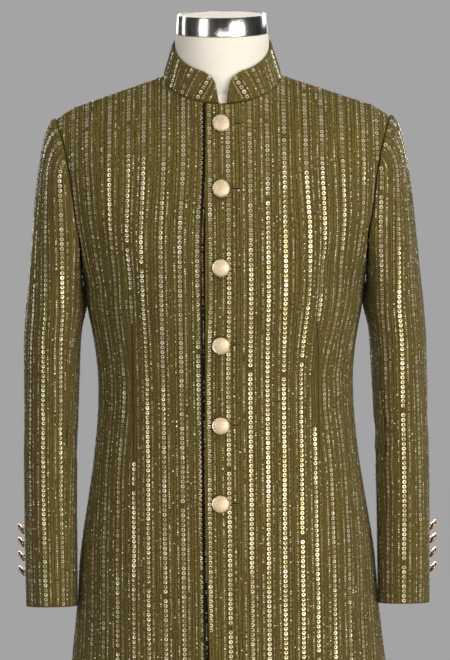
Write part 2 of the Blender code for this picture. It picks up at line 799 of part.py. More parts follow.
def form_half():
    """Front and back of the form in the +X half: the coat's own form, drawn in to stand clear."""
    halves = []
    grids = []
    for side in (FRONT, BACK):
        grid = panel_points(side, lambda z: 0.0 * z)
        normals = outward_normals(grid, side)
        normals[:, 0, 0] = 0.0
        grids.append(grid)
        halves.append(unit(normals))
    level_seam(halves[0], halves[1], SKIRT_ROWS)
    shapes = []
    for grid, normals in zip(grids, halves):
        drawn_in = form_clearance(grid[..., 2])
        drawn_in[-1, NECK_COLUMNS:] = WALL + SHOULDER_REST
        shapes.append(grid - normals * drawn_in[..., None])
    return shapes


def form_rows(grid):
    """The form's own rows: a few level ones below the arms, then every row of the coat's yoke."""
    heights = grid[:SKIRT_ROWS + 1, :, 2].mean(axis=1)
    rows = []
    for z in FORM_ROW_HEIGHTS:
        level = [[smooth_curve(heights, grid[:SKIRT_ROWS + 1, column, axis], z) for axis in range(3)]
                 for column in range(grid.shape[1])]
        row = np.array(level)
        row[:, 2] = z
        rows.append(row)
    return np.concatenate([np.array(rows), grid[SKIRT_ROWS:]])


def neck_ring(radius, depth, rise, columns):
    """A full ring of neck points with the neckline's tilt, from the front round by the left."""
    quarter = np.linspace(0, math.pi / 2, columns + 1)
    ring = []
    for side, angles in ((FRONT, quarter), (BACK, quarter[::-1])):
        points = neckline(angles, side)
        points[:, 0] = radius * np.sin(angles)
        points[:, 1] = side * depth * np.cos(angles)
        points[:, 2] += rise
        ring.extend(points if side == FRONT else points[1:])
    other = [point * np.array([-1, 1, 1]) for point in ring[-2:0:-1]]
    return np.array(ring + other)


def add_strip(model, low, high):
    count = len(low)
    for place in range(count):
        after = (place + 1) % count
        model.faces.new((low[place], low[after], high[after], high[place]))


def add_fan(model, ring, centre, flip):
    tip = model.verts.new(centre)
    for here, there in zip(ring, ring[1:] + ring[:1]):
        model.faces.new((there, here, tip) if flip else (here, there, tip))


def ring_loop(front_row, back_row):
    """One closed level loop of the form from its front and back rows in the +X half."""
    half = list(front_row) + list(back_row[::-1][1:])
    other = [point * np.array([-1, 1, 1]) for point in half[-2:0:-1]]
    return half + other


def build_form_torso():
    front, back = (form_rows(grid) for grid in form_half())
    level_count = len(FORM_ROW_HEIGHTS) + 1
    model = bmesh.new()
    loops = []
    for row in range(level_count):
        loops.append([model.verts.new(point) for point in ring_loop(front[row], back[row])])
    for low, high in zip(loops, loops[1:]):
        add_strip(model, low, high)
    add_fan(model, loops[0], (0, 0, FORM_BOTTOM_Z), True)
    columns = front.shape[1]
    grids = {}
    for half in (1, -1):
        for side, rows in ((FRONT, front), (BACK, back)):
            grids[half, side] = yoke_vertices(model, loops[-1], rows[level_count:], half, side, columns)
    for (half, side), rows in grids.items():
        add_yoke_faces(model, rows, half, side)
    for half in (1, -1):
        add_arm_plate(model, grids[half, FRONT], grids[half, BACK], half)
    bmesh.ops.remove_doubles(model, verts=model.verts, dist=0.00002)
    close_neck(model)
    bmesh.ops.recalc_face_normals(model, faces=model.faces)
    mesh = bpy.data.meshes.new("form_torso")
    model.to_mesh(mesh)
    model.free()
    add_object("form_torso", mesh, finish("form_torso_cover", CREAM, 0.75))


def yoke_vertices(model, loop, rows, half, side, columns):
    """Vertices above the last level loop, as rows that begin with that loop's own quarter."""
    count = 2 * columns - 1
    quarter = list(range(columns)) if side == FRONT else list(range(count - 1, columns - 2, -1))
    if half < 0:
        quarter = [(len(loop) - place) % len(loop) for place in quarter]
    grid = [[loop[place] for place in quarter]]
    for row in rows:
        grid.append([model.verts.new((half * point[0], point[1], point[2])) for point in row])
    return grid


def add_yoke_faces(model, rows, half, side):
    flip = (half > 0) != (side == FRONT)
    for low, high in zip(rows, rows[1:]):
        for place in range(len(low) - 1):
            for face in ((low[place], low[place + 1], high[place + 1]), (low[place], high[place + 1], high[place])):
                model.faces.new(face[::-1] if flip else face)


def add_arm_plate(model, front, back, half):
    """The flat end of the form inside the armhole."""
    for low_front, high_front, low_back, high_back in zip(front, front[1:], back, back[1:]):
        corners = [low_front[-1], low_back[-1], high_back[-1], high_front[-1]]
        kept = [corner for place, corner in enumerate(corners) if corner not in corners[:place]]
        if len(kept) >= 3:
            model.faces.new(kept if half > 0 else kept[::-1])


def close_neck(model):
    """Bridge the neckline's open loop to the neck joint and close the joint."""
    edges = [edge for edge in model.edges if edge.is_boundary]
    ring = [model.verts.new(point) for point in neck_ring(NECK_RADIUS, NECK_DEPTH, NECK_JOINT_RISE, NECK_COLUMNS)]
    joint = [model.edges.new(pair) for pair in zip(ring, ring[1:] + ring[:1])]
    bmesh.ops.bridge_loops(model, edges=edges + joint)
    add_fan(model, ring, (0, 0, NECK_Z + NECK_JOINT_RISE), False)


def build_form_neck():
    low = neck_ring(NECK_RADIUS, NECK_DEPTH, NECK_JOINT_RISE + TOUCH, NECK_COLUMNS)
    model = bmesh.new()
    rings = [[model.verts.new(point) for point in low]]
    for radius, depth, z in ((NECK_RADIUS, NECK_DEPTH, NECK_TOP_Z - NECK_TAPER),
                             (NECK_TOP_RADIUS, NECK_TOP_RADIUS, NECK_TOP_Z)):
        level = neck_ring(radius, depth, 0, NECK_COLUMNS)
        level[:, 2] = z
        rings.append([model.verts.new(point) for point in level])
    for below, above in zip(rings, rings[1:]):
        add_strip(model, below, above)
    add_fan(model, rings[0], (0, 0, NECK_Z + NECK_JOINT_RISE + TOUCH), True)
    add_fan(model, rings[-1], (0, 0, NECK_TOP_Z), False)
    bmesh.ops.recalc_face_normals(model, faces=model.faces)
    mesh = bpy.data.meshes.new("form_neck")
    model.to_mesh(mesh)
    model.free()
    add_object("form_neck", mesh, finish("form_neck_cover", CREAM, 0.7))


def build_neck_cap():
    """A metal cap with a raised rim, and the pale disc set into its top."""
    low = NECK_TOP_Z + TOUCH
    floor = CAP_TOP_Z - 2 * CAP_RECESS
    seat_radius = CAP_DISC_RADIUS + DISC_GAP
    profile = ((CAP_RADIUS - CAP_EDGE, low), (CAP_RADIUS, low + CAP_EDGE), (CAP_TOP_RADIUS, CAP_TOP_Z - CAP_EDGE),
               (CAP_TOP_RADIUS - CAP_EDGE, CAP_TOP_Z), (seat_radius, CAP_TOP_Z), (seat_radius, floor))
    metal = finish("neck_cap_metal", CAP_METAL, 0.22, 1.0)
    add_object("neck_cap", turned_mesh("neck_cap", profile, None, ROUND_SIDES), metal)
    disc = ((CAP_DISC_RADIUS, floor + TOUCH), (CAP_DISC_RADIUS, CAP_TOP_Z - CAP_RECESS / 2),
            (CAP_DISC_RADIUS - CAP_EDGE, CAP_TOP_Z - CAP_RECESS / 4))
    pale = finish("cap_disc_cover", DISC_CREAM, 0.6)
    add_object("cap_disc", turned_mesh("cap_disc", disc, None, ROUND_SIDES), pale)


def build_stand():
    foot = ((FOOT_RADIUS, 0.0), (FOOT_RADIUS, FOOT_HEIGHT - FOOT_BEVEL), (FOOT_RADIUS - FOOT_BEVEL, FOOT_HEIGHT))
    add_object("foot_plate", turned_mesh("foot_plate", foot, None, ROUND_SIDES),
               finish("foot_plate_metal", STAND_METAL, 0.35, 1.0))
    low = FOOT_HEIGHT + TOUCH
    socket = ((SOCKET_RADIUS, low), (SOCKET_RADIUS, low + SOCKET_BASE),
              (POLE_RADIUS + SOCKET_WALL, low + SOCKET_BASE + SOCKET_TAPER),
              (POLE_RADIUS + SOCKET_WALL, low + SOCKET_HEIGHT))
    add_object("pole_socket", turned_mesh("pole_socket", socket, None, ROUND_SIDES),
               finish("pole_socket_metal", STAND_METAL, 0.3, 1.0))
    high = FORM_BOTTOM_Z - TOUCH - FLANGE_HEIGHT
    pole = ((POLE_RADIUS, low + SOCKET_HEIGHT + TOUCH), (POLE_RADIUS, high - TOUCH))
    add_object("pole", turned_mesh("pole", pole, None, ROUND_SIDES // 2),
               finish("pole_metal", STAND_METAL, 0.25, 1.0))
    flange = ((FLANGE_RADIUS - FLANGE_EDGE, high), (FLANGE_RADIUS, high + FLANGE_EDGE),
              (FLANGE_RADIUS, high + FLANGE_HEIGHT))
    add_object("pole_flange", turned_mesh("pole_flange", flange, None, ROUND_SIDES),
               finish("pole_flange_metal", STAND_METAL, 0.3, 1.0))


def main():
    for old in list(bpy.data.objects):
        bpy.data.objects.remove(old, do_unlink=True)
    build_body(body_walls())
    build_sleeves()
    build_collar()
    build_front_buttons()
    build_cuff_buttons()
    build_form_torso()
    build_form_neck()
    build_neck_cap()
    build_stand()


main()
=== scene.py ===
# %% [markdown]
# # A sherwani coat on its dress form
# This lesson dresses a plain solid model of a long buttoned coat. The solids come first and stay
# fixed: they say how large everything is. Each cell below then makes one piece or one finish as
# the real one is made: cloth panels with seams, rows of ring sequins sewn on, turned buttons, and
# the jersey-covered form with its metal cap.

# %% Open the fixed frame
import math

import bpy
import bmesh
import numpy as np
from mathutils import Matrix, Vector
from mathutils.bvhtree import BVHTree


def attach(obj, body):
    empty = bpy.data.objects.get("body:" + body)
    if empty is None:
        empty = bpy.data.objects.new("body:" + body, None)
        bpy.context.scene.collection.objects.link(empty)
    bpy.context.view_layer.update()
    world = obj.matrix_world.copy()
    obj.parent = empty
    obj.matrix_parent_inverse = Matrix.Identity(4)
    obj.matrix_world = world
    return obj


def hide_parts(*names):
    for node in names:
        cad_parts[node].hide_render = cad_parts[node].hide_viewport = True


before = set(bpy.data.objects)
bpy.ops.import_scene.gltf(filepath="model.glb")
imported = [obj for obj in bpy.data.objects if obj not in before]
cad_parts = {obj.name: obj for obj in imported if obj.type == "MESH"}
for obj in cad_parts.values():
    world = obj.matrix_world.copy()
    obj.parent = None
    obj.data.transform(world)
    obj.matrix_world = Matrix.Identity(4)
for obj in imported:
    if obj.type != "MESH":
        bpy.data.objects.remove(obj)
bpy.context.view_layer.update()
print("solids in the frame:", len(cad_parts))

# %% [markdown]
# ## Camera
# A studio shot of a garment is taken from far away with a long lens, so the coat shows hardly any
# perspective. The camera stands five metres off, above the shoulders, and looks slightly down. Its
# small roll sets the coat's very slight lean in the frame.

# %% Stand the camera
CAMERA_PLACE = (0.0, -5.0, 2.005)
CAMERA_PITCH = 9.63
CAMERA_ROLL = -0.59
CAMERA_LENS = 205.6

camera_data = bpy.data.cameras.new("studio_camera")
camera_data.lens = CAMERA_LENS
camera = bpy.data.objects.new("studio_camera", camera_data)
tilt = Matrix.Rotation(math.radians(90 - CAMERA_PITCH), 4, "X")
roll = Matrix.Rotation(math.radians(CAMERA_ROLL), 4, "Z")
camera.matrix_world = Matrix.Translation(CAMERA_PLACE) @ tilt @ roll
bpy.context.scene.collection.objects.link(camera)
bpy.context.scene.camera = camera
print("camera lens:", camera_data.lens, "mm")

# %% [markdown]
# ## Light
# The backdrop is one even grey, so the world is seen as that grey, while it lights the coat less,
# as a dim studio does. The neck cap mirrors the real studio: a broad tall softbox on the right, a
# narrower one on the left and a strip behind, so the same stand here. A low wide light stands for
# the bright floor, which makes the sequins glint. Two soft ones only brighten the cloth, so metal
# doesn't mirror them. The plain Standard view keeps colours as they are worked out.

# %% Light the studio
STUDIO_GREY = 0.371
STUDIO_GLOOM = 0.11
LIGHT_COLUMNS = ("place", "size", "power", "tint")
LIGHTS = {
    "key_right": ((1.90, -2.35, 1.10), (1.8, 1.6), 56.0, (1.0, 0.97, 0.92)),
    "key_soft": ((1.90, -2.35, 2.00), (1.8, 1.2), 24.0, (1.0, 0.97, 0.92)),
    "fill_left": ((-2.30, -2.00, 1.45), (0.9, 2.1), 26.0, (1.0, 0.98, 0.96)),
    "rim_left": ((-2.70, 1.30, 1.70), (0.4, 2.2), 16.0, (1.0, 1.0, 1.0)),
    "front_low": ((0.45, -3.60, 0.42), (2.4, 0.7), 22.0, (1.0, 0.97, 0.93)),
    "overhead": ((0.5, -1.3, 3.4), (2.2, 1.6), 62.0, (1.0, 0.99, 0.97)),
    "back_right": ((2.0, 2.6, 2.2), (1.4, 1.8), 34.0, (1.0, 1.0, 1.0)),
    "back_plain": ((-0.5, 3.9, 1.5), (2.6, 2.0), 95.0, (1.0, 0.98, 0.95)),
}
LIGHTS_AIM = Vector((0.0, 0.0, 1.15))
UNMIRRORED = ("key_soft", "overhead")

world = bpy.data.worlds.new("studio_grey")
world.use_nodes = True
backdrop = world.node_tree.nodes["Background"]
backdrop.inputs["Color"].default_value = (STUDIO_GREY, STUDIO_GREY, STUDIO_GREY, 1.0)
ray = world.node_tree.nodes.new("ShaderNodeLightPath")
level = world.node_tree.nodes.new("ShaderNodeMapRange")
level.inputs["To Min"].default_value = STUDIO_GLOOM
level.inputs["To Max"].default_value = 1.0
world.node_tree.links.new(ray.outputs["Is Camera Ray"], level.inputs["Value"])
world.node_tree.links.new(level.outputs["Result"], backdrop.inputs["Strength"])
bpy.context.scene.world = world
bpy.context.scene.view_settings.view_transform = "Standard"

for name, row in LIGHTS.items():
    light = dict(zip(LIGHT_COLUMNS, row))
    lamp = bpy.data.lights.new(name, "AREA")
    lamp.shape = "RECTANGLE"
    lamp.size, lamp.size_y = light["size"]
    lamp.energy = light["power"]
    lamp.color = light["tint"]
    stand = bpy.data.objects.new(name, lamp)
    stand.location = light["place"]
    stand.rotation_euler = (LIGHTS_AIM - stand.location).to_track_quat("-Z", "Y").to_euler()
    stand.visible_camera = False
    stand.visible_glossy = name not in UNMIRRORED
    bpy.context.scene.collection.objects.link(stand)
print("lights:", len(LIGHTS))

# %% [markdown]
# ## A way to write finishes
# A finish is a small sum over noises and stripes. Written as plain Python it can be read like any
# other sum, so a wrapped socket answers +, - and * by adding the matching Math node. Colours
# are mixed by a Mix node, because a Math node would turn them grey. Values that stay the same all
# over are set straight on the shader.

# %% Wrap the shader's sockets
MIX_COLOUR_SOCKETS = (0, 6, 7)
MIX_COLOUR_RESULT = 2


class Signal:
    """A number or colour that flows through a finish."""

    def __init__(self, finish, socket):
        self.finish = finish
        self.socket = socket

    def sum(self, operation, first, second):
        return self.finish.node("ShaderNodeMath", {"operation": operation}, {0: first, 1: second})

    def __add__(self, other):
        return self.sum("ADD", self, other)

    def __sub__(self, other):
        return self.sum("SUBTRACT", self, other)

    def __rsub__(self, other):
        return self.sum("SUBTRACT", other, self)

    def __mul__(self, other):
        return self.sum("MULTIPLY", self, other)

    __radd__ = __add__

    def fraction(self):
        return self.sum("FRACT", self, 0.0)

    def size(self):
        return self.sum("ABSOLUTE", self, 0.0)

    def above(self, low, high):
        """0 below low, 1 above high, smooth between; turned round where low is the larger."""
        ends = {"Value": self, "From Min": low, "From Max": high}
        return self.finish.node("ShaderNodeMapRange", {"interpolation_type": "SMOOTHSTEP"}, ends)


class Finish:
    """A procedural material: constants go straight on the shader, the rest is linked."""

    def __init__(self, name, constants):
        self.material = bpy.data.materials.new(name)
        self.material.use_nodes = True
        self.tree = self.material.node_tree
        self.shader = self.tree.nodes["Principled BSDF"]
        for socket, value in constants.items():
            self.shader.inputs[socket].default_value = value

    def feed(self, socket, value):
        if isinstance(value, Signal):
            self.tree.links.new(value.socket, socket)
        else:
            socket.default_value = value

    def node(self, kind, settings=None, sockets=None, out=0):
        made = self.tree.nodes.new(kind)
        for name, value in (settings or {}).items():
            if name == "stops":
                self.set_stops(made.color_ramp, value)
            else:
                setattr(made, name, value)
        for name, value in (sockets or {}).items():
            self.feed(made.inputs[name], value)
        return Signal(self, made.outputs[out])

    def set_stops(self, ramp, stops):
        while len(ramp.elements) < len(stops):
            ramp.elements.new(0.5)
        for element, (place, colour) in zip(ramp.elements, stops):
            element.position = place
            element.color = (*colour, 1.0)

    def mix(self, factor, first, second):
        """A colour between two others."""
        ends = [value if isinstance(value, Signal) else (*value, 1.0) for value in (first, second)]
        sockets = dict(zip(MIX_COLOUR_SOCKETS, (factor, *ends)))
        return self.node("ShaderNodeMix", {"data_type": "RGBA"}, sockets, out=MIX_COLOUR_RESULT)

    def ramp(self, factor, stops):
        return self.node("ShaderNodeValToRGB", {"stops": stops}, {"Fac": factor})

    def noise(self, place, scale, detail=2.0):
        sizes = {"Vector": place, "Scale": scale, "Detail": detail}
        return self.node("ShaderNodeTexNoise", None, sizes)

    def stretched(self, place, scale):
        return self.node("ShaderNodeMapping", None, {"Vector": place, "Scale": scale})

    def place(self):
        return self.node("ShaderNodeTexCoord", out="Object")

    def own_map(self, name):
        """The two numbers of one of the piece's own maps."""
        parted = self.node("ShaderNodeSeparateXYZ", None, {0: self.node("ShaderNodeUVMap", {"uv_map": name})})
        nodes = parted.socket.node
        return Signal(self, nodes.outputs["X"]), Signal(self, nodes.outputs["Y"])

    def bump(self, height, distance, strength=1.0):
        sizes = {"Height": height, "Distance": distance, "Strength": strength}
        self.feed(self.shader.inputs["Normal"], self.node("ShaderNodeBump", None, sizes))

    def set(self, **values):
        for name, value in values.items():
            self.feed(self.shader.inputs[name.replace("_", " ")], value)


def mottled_finish(name, constants, colours, grain, roughness, relief=0.0):
    """Two colours and a roughness that follow one noise, given by its scale and detail."""
    finish = Finish(name, constants)
    mottle = finish.noise(finish.place(), *grain)
    least, spread = roughness
    finish.set(Base_Color=finish.mix(mottle, *colours), Roughness=least + mottle * spread)
    if relief:
        finish.bump(mottle, relief)
    return finish.material


print("finish tools ready")

# %% [markdown]
# ## The coat's cloth
# The real cloth is an olive silk blend with a fine upright rib. Between the rows of ring sequins
# run two thin couched gold threads, one brighter than the other. The panels carry a map whose
# first number counts the rows of sequins and whose second is the height in metres, so ribs and
# threads follow the grain of every panel. A second map measures the way to the dart, which gives
# a thin sewn line, and on the right front it carries a near-black painted shadow on the strip under
# the lap and just past its edge. Each noise below is given by how often it changes over one row
# and over one metre of height, and by its detail.

# %% Mix the olive cloth
RIBS_PER_ROW = 13
GROOVES_PER_ROW = 6
THREADS = ((0.29, 0.45), (0.69, 0.85))
OLIVE_DEEP = (0.019, 0.013, 0.003)
OLIVE_LIGHT = (0.160, 0.121, 0.029)
# Near black for the furrows: painted shade in the recessed furrows.
FURROW_SHADE_BROWN = (0.015, 0.010, 0.003)
# Near black: the dart's sewn line, and the painted shadow under the lap on the right front.
DART_LINE_AND_LAP_SHADE_BROWN = (0.012, 0.009, 0.004)
THREAD_GOLD = (0.46, 0.38, 0.19)
CLOTH_CONSTANTS = {"Sheen Weight": 0.12, "Sheen Roughness": 0.45, "Sheen Tint": (0.75, 0.62, 0.30, 1.0),
                   "Specular IOR Level": 0.12}
CLOTH_NOISES = {
    "streaks": (12.0, 16.0, 3.0),
    "slubs": (30.0, 170.0, 2.0),
    "specks": (14.0, 330.0, 2.0),
    "weave": (60.0, 1500.0, 1.0),
    "patches": (3.0, 38.0, 2.0),
}
TONE_SPAN = (0.36, 0.78)
FURROW_SPAN = (0.25, 0.95)
FURROW_BREAKS = (0.34, 0.60)
FURROW_WANDER = 2.0
THREAD_SPAN = (0.472, 0.492)
THREAD_PATCHES = (0.36, 0.60)
THREAD_BREAKS = (0.40, 0.58)
DART_SPAN = (1.3, 0.3)
DART_LINE_AND_LAP_SHADE_DARKNESS = 0.88
CLOTH_ROUGHNESS = 0.74
THREAD_SHINE = 0.30
CLOTH_RELIEF = 0.0005


def ridges(cloth, turns):
    """A sine across the rows."""
    return cloth.node("ShaderNodeMath", {"operation": "SINE"}, {0: turns})


def cloth_finish():
    cloth = Finish("olive_cloth", CLOTH_CONSTANTS)
    rows, height = cloth.own_map("grain")
    grain = cloth.node("ShaderNodeCombineXYZ", None, {0: rows, 1: height})
    streaks, slubs, specks, weave, patches = (
        cloth.noise(cloth.stretched(grain, (over_row, over_metre, 1.0)), 1.0, detail)
        for over_row, over_metre, detail in CLOTH_NOISES.values())
    rib = ridges(cloth, rows * (2 * math.pi * RIBS_PER_ROW))
    wave = ridges(cloth, rows * (2 * math.pi * GROOVES_PER_ROW) + streaks * FURROW_WANDER)
    furrow = wave.above(*FURROW_SPAN) * slubs.above(*FURROW_BREAKS)
    tone = streaks * 0.26 + slubs * 0.24 + specks * 0.48 + rib * 0.05 + weave * 0.16
    colour = cloth.mix(tone.above(*TONE_SPAN), OLIVE_DEEP, OLIVE_LIGHT)
    # The furrows are cut in by the bump below; their darker colour here is painted shade.
    colour = cloth.mix(furrow * (0.30 + streaks * 0.55), colour, FURROW_SHADE_BROWN)
    thread = None
    for place, weight in THREADS:
        away = ((rows - place).fraction() - 0.5).size()
        line = away.above(*THREAD_SPAN) * patches.above(*THREAD_PATCHES)
        line = line * specks.above(*THREAD_BREAKS) * weight
        thread = line if thread is None else thread + line
    colour = cloth.mix(thread, colour, THREAD_GOLD)
    # The dart map gives the dart's dark sewn line, and on the right front a painted shadow under the lap.
    dart, dart_reach_and_lap_shade = cloth.own_map("dart")
    dart_line_and_lap_shade = dart.size().above(*DART_SPAN) * dart_reach_and_lap_shade
    colour = cloth.mix(dart_line_and_lap_shade * DART_LINE_AND_LAP_SHADE_DARKNESS, colour, DART_LINE_AND_LAP_SHADE_BROWN)
    cloth.set(Base_Color=colour, Roughness=CLOTH_ROUGHNESS - thread * THREAD_SHINE)
    cloth.bump(rib * 0.25 + weave * 0.45 + thread * 1.6 - furrow * 1.5 - dart_line_and_lap_shade * 2.0, CLOTH_RELIEF)
    return cloth.material


LINING_COLOURS = ((0.060, 0.048, 0.020), (0.095, 0.078, 0.034))
TWILL = {"Scale": 420.0, "Distortion": 0.6}
TWILL_RELIEF = 0.00012
LINING_CLOUDS = (9.0, 3.0)


def lining_finish():
    lining = Finish("olive_lining", {"Sheen Weight": 0.15, "Specular IOR Level": 0.45})
    place = lining.place()
    twill = lining.node("ShaderNodeTexWave", {"bands_direction": "DIAGONAL"}, dict(TWILL, Vector=place))
    clouds = lining.noise(place, *LINING_CLOUDS)
    lining.set(Base_Color=lining.mix(clouds, *LINING_COLOURS), Roughness=0.42 + clouds * 0.12)
    lining.bump(twill, TWILL_RELIEF)
    return lining.material


olive_cloth = cloth_finish()
olive_lining = lining_finish()
print("cloth finishes:", olive_cloth.name, olive_lining.name)

# %% [markdown]
# ## The garment form
# The solids were made from a few level sections and curves for the neckline, shoulder and
# armhole. The cloth repeats those numbers, so that it lies where its solid is, but it is worked
# out on a grid some ten times as dense.

# %% The coat's sizes
SEAM_GAP = 0.0004
ROUNDNESS = 2.2
HEM_Z = 0.420
UNDERARM_Z = 1.235
SHOULDER_Z = 1.444
NECK_Z = 1.500
CUFF_Z = 0.785
MILLIMETRE = 0.001
FRONT = -1
BACK = 1

SECTION_COLUMNS = ("height", "half_width", "front", "back")
SECTIONS = (
    (420, 240, 166, 176),
    (560, 227, 157, 165),
    (700, 214, 149, 155),
    (779, 205, 144, 149),
    (855, 199, 140, 144),
    (924, 188, 134, 137),
    (992, 178, 128, 128),
    (1061, 172, 124, 118),
    (1101, 172, 124, 114),
    (1132, 175, 126, 114),
    (1196, 186, 132, 118),
    (1235, 191, 135, 121),
    (1267, 201, 136, 123),
    (1298, 210, 134, 125),
    (1319, 217, 131, 125),
    (1340, 220.5, 128, 125),
    (1385, 223.5, 119, 121),
    (1444, 221.6, 103, 111),
)
SHOULDER_COLUMNS = ("x", "height")
SHOULDER_LINE = ((78.5, 1500), (112, 1489), (150, 1476), (190, 1462), (210, 1453.5), (221.6, 1444))
NECK_HALF_WIDTH = 0.0785
NECK_FRONT = 0.077
NECK_BACK = 0.065
NECK_DROP = 0.029
NAPE_RISE = 0.020
SHOULDER_RISE = 0.42
FRONT_NECK_RISE = 0.51
BACK_NECK_RISE = 0.42
NECK_BLEND = 0.110
ARMHOLE_MID_Z = 1.318
ARMHOLE_FRONT = 0.063
ARMHOLE_BACK = 0.066
UPPER_PANEL_ANGLE = 58.0
YOKE_START_ANGLE = 72.0
HOLLOW_DEPTH = 0.005
HOLLOW_X = 0.158
HOLLOW_Z = 1.225
HOLLOW_HALF_WIDTH = 0.026
HOLLOW_HALF_HEIGHT = 0.085
FLUTE_DEPTH = 0.0045
FLUTE_TOP_Z = 0.98
FLUTES_PER_PANEL = 1.5
FLUTE_START = 0.35
FLUTE_START_FADE = 0.5
FLUTE_SIDE_FADE = 0.3
BUTTON_HEIGHTS = (1.446, 1.365, 1.263, 1.159, 1.051, 0.947)
OVERLAP = 0.021
LINE_TOP_X = -0.0015
LINE_LEAN = 0.0118
PLACKET_LIFT = 0.0030
PLACKET_RECESS = 0.0048
PLACKET_BLEND = 0.030
RECESS_BLEND = 0.011
EDGE_CURL = 0.0030
EDGE_CURL_WIDTH = 0.014
# How far past the left front's edge the right front is painted in shadow, and over what width it fades.
LAP_SHADE = 0.0052
LAP_SHADE_FADE = 0.0040
EDGE_LIFT = 0.005
EDGE_LIFT_WIDTH = 0.070
EDGE_LIFT_DROP = 0.03
EDGE_LIFT_REACH = 0.30
EDGE_SWING = 0.004
EDGE_SWING_REACH = 0.25
NECK_COLUMNS = 5
SHOULDER_PANEL_COLUMNS = 7
print("coat:", NECK_Z - HEM_Z, "m from the neck point to the hem")


# %% Curves and tables
def smooth_curve(knots, values, at):
    """A smooth curve through a few knots, read at one place or many."""
    knots = np.asarray(knots, dtype=float)
    values = np.asarray(values, dtype=float)
    at = np.clip(np.asarray(at, dtype=float), knots[0], knots[-1])
    slopes = np.gradient(values, knots)
    span = np.clip(np.searchsorted(knots, at, side="right") - 1, 0, len(knots) - 2)
    width = knots[span + 1] - knots[span]
    t = (at - knots[span]) / width
    rise = values[span + 1] - values[span]
    start = slopes[span] * width
    end = slopes[span + 1] * width
    return values[span] + t * (start + t * (3 * rise - 2 * start - end + t * (start + end - 2 * rise)))


def read_table(rows, columns, name, at):
    """One column of a millimetre table, as metres, at the height or place given in metres."""
    table = np.asarray(rows, dtype=float)
    column = columns.index(name)
    return smooth_curve(table[:, 0] * MILLIMETRE, table[:, column] * MILLIMETRE, at)


def section(name, z):
    return read_table(SECTIONS, SECTION_COLUMNS, name, z)


def ease(t):
    """Rises from 0 to 1 without a corner."""
    t = np.clip(t, 0.0, 1.0)
    return t * t * (3 - 2 * t)


def bezier(p0, p1, p2, p3, t):
    s = 1 - t
    return s ** 3 * p0 + 3 * s * s * t * p1 + 3 * s * t * t * p2 + t ** 3 * p3


def unit(vectors):
    length = np.linalg.norm(vectors, axis=-1, keepdims=True)
    return vectors / np.maximum(length, 1e-12)


def lengths_along(points):
    """How far each point lies along its line, from the line's first point."""
    steps = np.linalg.norm(np.diff(points, axis=0), axis=-1)
    return np.concatenate([[0.0], np.cumsum(steps)])


print("chest half width:", round(float(section("half_width", UNDERARM_Z)), 3))


# %% Rings, armhole and neckline
def side_name(side):
    return "front" if side == FRONT else "back"


def armhole(angle, side):
    """A point of the armhole: 0 degrees at the shoulder, 180 under the arm."""
    turn = np.radians(angle)
    reach = ARMHOLE_FRONT if side == FRONT else ARMHOLE_BACK
    rise = np.where(np.cos(turn) > 0, SHOULDER_Z - ARMHOLE_MID_Z, ARMHOLE_MID_Z - UNDERARM_Z)
    y = reach * np.abs(np.sin(turn))
    z = ARMHOLE_MID_Z + rise * np.cos(turn)
    share = (1 - (y / section(side_name(side), z)) ** ROUNDNESS) ** (1 / ROUNDNESS)
    x = section("half_width", z) * share
    return np.stack([x, side * y, z], axis=-1)


def ring_point(turn, z, side):
    """A point of the level ring at height z, with the hollow under the arm and the skirt's flutes."""
    across = np.sin(turn)
    width, depth = section("half_width", z), section(side_name(side), z)
    x = width * across
    y = side * depth * (1 - np.minimum(np.abs(across), 1.0) ** ROUNDNESS) ** (1 / ROUNDNESS)
    outward = unit(np.stack([x / width ** 2, y / depth ** 2, 0 * x], axis=-1))
    hang = ease((FLUTE_TOP_Z - z) / (FLUTE_TOP_Z - HEM_Z))
    away = ease((np.abs(turn) - FLUTE_START) / FLUTE_START_FADE)
    away = away * ease((math.pi / 2 - np.abs(turn)) / FLUTE_SIDE_FADE)
    flute = FLUTE_DEPTH * hang * away * np.cos(4 * FLUTES_PER_PANEL * turn)
    beside, above = (np.abs(x) - HOLLOW_X) / HOLLOW_HALF_WIDTH, (z - HOLLOW_Z) / HOLLOW_HALF_HEIGHT
    hollow = HOLLOW_DEPTH * np.exp(-beside ** 2 - above ** 2) if side == FRONT else 0
    return np.stack([x, y, z + 0 * x], axis=-1) + outward * (flute - hollow)[..., None]


def side_turn(z, side):
    """The ring angle at which a panel ends: the side seam, or the armhole above it."""
    if z <= UNDERARM_Z:
        return math.pi / 2
    reach = SHOULDER_Z - ARMHOLE_MID_Z if z > ARMHOLE_MID_Z else ARMHOLE_MID_Z - UNDERARM_Z
    angle = math.degrees(math.acos(max(-1.0, min(1.0, (z - ARMHOLE_MID_Z) / reach))))
    return math.asin(min(1.0, armhole(angle, side)[0] / section("half_width", z)))


def neckline(angle, side):
    """A point of the neckline: 0 at the centre line, a quarter turn at the neck point."""
    depth = NECK_FRONT if side == FRONT else NECK_BACK
    rise = -NECK_DROP if side == FRONT else NAPE_RISE
    x = NECK_HALF_WIDTH * np.sin(angle)
    return np.stack([x, side * depth * np.cos(angle), NECK_Z + rise * np.cos(angle)], axis=-1)


def shoulder_seam(share):
    x = NECK_HALF_WIDTH + share * (SHOULDER_LINE[-1][0] * MILLIMETRE - NECK_HALF_WIDTH)
    return np.stack([x, 0 * x, read_table(SHOULDER_LINE, SHOULDER_COLUMNS, "height", x)], axis=-1)


def top_edge(start, side):
    """The panel's upper edge: neckline points from the start angle, then the shoulder seam."""
    neck = neckline(np.linspace(start, math.pi / 2, NECK_COLUMNS + 1), side)
    seam = shoulder_seam(np.linspace(0, 1, SHOULDER_PANEL_COLUMNS + 1))
    return np.concatenate([neck, seam[1:]])


print("shoulder point:", shoulder_seam(np.array([1.0]))[0])


